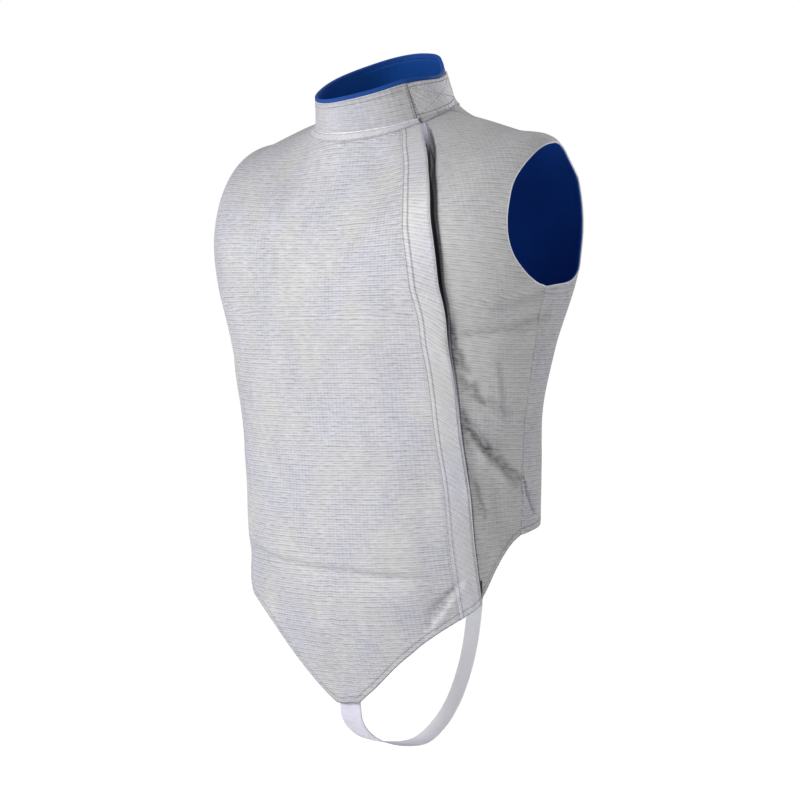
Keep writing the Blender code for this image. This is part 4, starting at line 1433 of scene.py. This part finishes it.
def knitted_elastic():
    """White elastic: fine ribs along it, a tighter pair near each edge, short cross stitches, painted paler
    towards its back end.
    """
    material, tree, shader = new_material("knitted_elastic")
    u, v, _ = sheet_layer(tree, "weave")
    ribs, rows = lines(tree, u, 0.0014, 1.0), lines(tree, v, 0.0011, 1.0)
    edge, edge_width = 0.0122, 0.0012
    off_middle = maths(tree, "ABSOLUTE", u)
    near_edge = maths(tree, "MULTIPLY_ADD", off_middle, 1 / edge_width, -edge / edge_width, clamp=True)
    slow = uneven(tree, u, v, 60, 18, 2)
    tone = added(tree, 0.93, (ribs, 0.07), (rows, 0.04), (slow, 0.08), (near_edge, -0.05))
    # Painted light: the colour is darker on the front length and paler on the back length, which hangs in the
    # vest's shade.
    along = maths(tree, "MULTIPLY", v, 1 / 0.46)
    paint(tree, shader, colour_ramp(tree, along, (0.30, (0.60, 0.585, 0.68)), (0.50, (1.0, 0.98, 1.0))), tone)
    shader.inputs["Roughness"].default_value = 0.8
    shader.inputs["Sheen Weight"].default_value = 0.15
    shader.inputs["Subsurface Weight"].default_value = 0.6
    shader.inputs["Subsurface Radius"].default_value = (1.0, 1.0, 1.0)
    shader.inputs["Subsurface Scale"].default_value = 0.003
    emboss(tree, shader, maths(tree, "ADD", ribs, maths(tree, "MULTIPLY", rows, 0.5)), 0.35, 0.0002)
    return material


strap = cloth_sheet("elastic_crotch_strap", 16, 260, strap_place, STRAP_CLOTH, knitted_elastic())
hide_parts("crotch_strap")

# The turned edges of the armholes, the lap and the collar's foot: the shell's cloth rolled over a narrow
# facing, bright where it catches the light, and painted paler than the shell's cloth as a painted highlight.
ROLL_RADIUS = 0.0009


def roll(name, points, material, closed=True, radius=ROLL_RADIUS):
    """A thin roll of cloth along a line of points."""
    line = bpy.data.curves.new(name, "CURVE")
    line.dimensions = "3D"
    line.bevel_depth = radius
    line.bevel_resolution = 2
    loop = line.splines.new("POLY")
    loop.points.add(len(points) - 1)
    loop.points.foreach_set("co", np.concatenate((points, np.ones((len(points), 1))), axis=1).ravel())
    loop.use_cyclic_u = closed
    line.use_fill_caps = not closed
    drawn = placed(name, line)
    bpy.context.view_layer.update()
    data = bpy.data.meshes.new_from_object(drawn.evaluated_get(bpy.context.evaluated_depsgraph_get()))
    bpy.data.objects.remove(drawn)
    data.name = name
    data.materials.clear()
    data.materials.append(material)
    data.shade_smooth()
    piece = placed(name, data)
    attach(piece, "root")
    return piece


def rolled_cloth_painted_pale():
    material, tree, shader = new_material("rolled_cloth_painted_pale")
    grain = object_noise(tree, 700.0, 2.0)
    tone = added(tree, 0.70, (object_noise(tree, 60.0, 1.0), 0.25), (grain, 0.35))
    # Painted highlight: paler than the shell's cloth, so that the rolled edges read bright.
    paint(tree, shader, (0.66, 0.66, 0.70), tone)
    shader.inputs["Roughness"].default_value = 0.5
    shader.inputs["Metallic"].default_value = 0.3
    emboss(tree, shader, grain, 0.5, 0.0002)
    return material


edge_cloth_painted_pale = rolled_cloth_painted_pale()
armhole_knots = np.linspace(SHOULDER_END, ARMPIT, 140)
armhole = edges_at(armhole_knots)
for side_name, mirrored in (("left", False), ("right", True)):
    stations = np.concatenate((armhole[:, 0], armhole[-2:0:-1, 0]))
    turns = np.concatenate((armhole[:, 1], armhole[-2:0:-1, 2]))
    loop = cloth_point(-180 - turns if mirrored else turns, stations, -CLOTH * 0.5)
    roll("armhole_roll_" + side_name, loop, edge_cloth_painted_pale)

lap_stations = np.linspace(0.0105, CLOSING_FOOT - 0.001, 300)
lap_turns = closing_turn(lap_stations)
lap_line = cloth_point(lap_turns, lap_stations, GAP + TRIM * 0.4, lap_height(lap_turns, lap_stations))
lap_roll = roll("lap_roll", lap_line, edge_cloth_painted_pale, closed=False, radius=0.0006)

foot_turns = np.linspace(collar_start + 9.0, collar_end, 500)
foot_line = collar_spot(foot_turns, np.full(500, 0.0007), collar_rise(foot_turns) + 0.0003)
foot_roll = roll("collar_foot_roll", foot_line, edge_cloth_painted_pale, closed=False, radius=0.0011)

# The sewing: silver-grey polyester thread, painted dark grey for the shade in its stitch holes, in rows of
# short stitches that sit in the cloth.
THREAD = 0.00028  # its half width
CLOSE_PITCH = 0.0028  # of the stitches on the collar and the tab


def thread_grey_and_hole_shade():
    material, tree, shader = new_material("thread_grey_and_hole_shade")
    fibre = object_noise(tree, 1500.0, 1.0)
    # Painted shade: the thread's grey is darkened for the shade in the stitch holes.
    colour = colour_ramp(tree, fibre, (0, (0.16, 0.16, 0.18)), (1, (0.40, 0.40, 0.44)))
    tree.links.new(colour, shader.inputs["Base Color"])
    shader.inputs["Roughness"].default_value = 0.55
    return material


sewing_thread = thread_grey_and_hole_shade()


def stitch_row(shape, points, outs, pitch=STITCH_PITCH):
    """Short stitches along a line of points, a little sunk into the cloth."""
    lengths = np.concatenate(((0,), np.cumsum(np.linalg.norm(np.diff(points, axis=0), axis=1))))
    for along in np.arange(pitch / 2, lengths[-1], pitch):
        spot, ahead, out = (
            np.array([np.interp(place, lengths, line) for line in values.T])
            for place, values in ((along, points), (along + pitch / 4, points), (along, outs))
        )
        run = ahead - spot
        if np.linalg.norm(run) < pitch / 8:
            continue
        run /= np.linalg.norm(run)
        across = np.cross(out, run)
        place = frame_matrix(spot, (run, across, out), (pitch * 0.34, THREAD, THREAD))
        bmesh.ops.create_icosphere(shape, subdivisions=1, radius=1, matrix=place)


def row_on_cloth(shape, turns, stations, height, laps=False):
    lift = lap_height(turns, stations) if laps else 0.0
    points = cloth_point(turns, stations, height, lift)
    stitch_row(shape, points, outward(body_point, turns, stations))


def hem_row(first_turn, last_turn, count):
    """Turns and stations of a row of sewing at its distance above the hem."""
    turns = np.linspace(first_turn, last_turn, count)
    step = 0.5
    slope = (hem_station(turns + step) - hem_station(turns - step)) / (2 * np.radians(step) * FOLD_RADIUS)
    return turns, hem_station(turns) - HEM_STITCH * np.sqrt(1 + slope**2)


rows_shape, finish_rows = small_parts("sewing_front_right", sewing_thread)
band_stations = np.linspace(0.012, CLOSING_FOOT - 0.004, 400)
for from_band_edge in BAND_ROWS:
    turns = beside_edge(-(band_width(band_stations) - from_band_edge), band_stations)
    row_on_cloth(rows_shape, turns, band_stations, GAP + TRIM, laps=True)
row_on_cloth(rows_shape, beside_edge(-EDGE_ROW, band_stations), band_stations, GAP + TRIM, laps=True)
hem_end = closing_turn(np.array(CLOSING_FOOT)) - 10.5
row_on_cloth(rows_shape, *hem_row(-178.0, hem_end, 500), 0.0, laps=True)
row_on_cloth(rows_shape, *hem_row(hem_end, hem_end + 10, 40), GAP + TRIM, laps=True)
front_sewing = finish_rows()

rows_shape, finish_rows = small_parts("sewing_front_left", sewing_thread)
row_on_cloth(rows_shape, *hem_row(-26.0, -2.4, 120), 0.0)
left_sewing = finish_rows()

rows_shape, finish_rows = small_parts("sewing_back", sewing_thread)
row_on_cloth(rows_shape, *hem_row(-0.4, 180.4, 500), 0.0)
back_sewing = finish_rows()

rows_shape, finish_rows = small_parts("sewing_collar", sewing_thread)
for row_station in TAPE_ROWS:
    edge = closing_turn(np.array(row_station))
    turns = np.linspace(edge + 3, edge + 359, 700)
    stations = np.minimum(row_station, tape_foot(turns) - 0.0012)
    lift = np.where(turns > 180, lap_height(turns - 360, stations), 0.0)
    points = cloth_point(turns, stations, GAP + TRIM, lift)
    stitch_row(rows_shape, points, outward(body_point, turns, stations))


def row_on_collar(turns, rises, height):
    stitch_row(rows_shape, collar_spot(turns, rises, height), collar_outward(turns, rises), CLOSE_PITCH)


turns = np.linspace(TAB_END + 1, collar_end - 1, 700)
row_on_collar(turns, np.full(700, RIM_ROW), collar_rise(turns))
turns = collar_end - 1.7 + np.linspace(0.05, 0.95, 40) * COLLAR_LEAN
row_on_collar(turns, np.linspace(0.002, 0.038, 40), collar_rise(turns))
box_corners = [(turn, rise) for turn in BOX_TURNS for rise in BOX_RISES]
for (from_turn, from_rise), (to_turn, to_rise) in combinations(box_corners, 2):  # its sides and its cross
    turns, rises = np.linspace(from_turn, to_turn, 60), np.linspace(from_rise, to_rise, 60)
    row_on_collar(turns, rises, GAP + TAB_CLOTH + 0.0003)
collar_sewing = finish_rows()
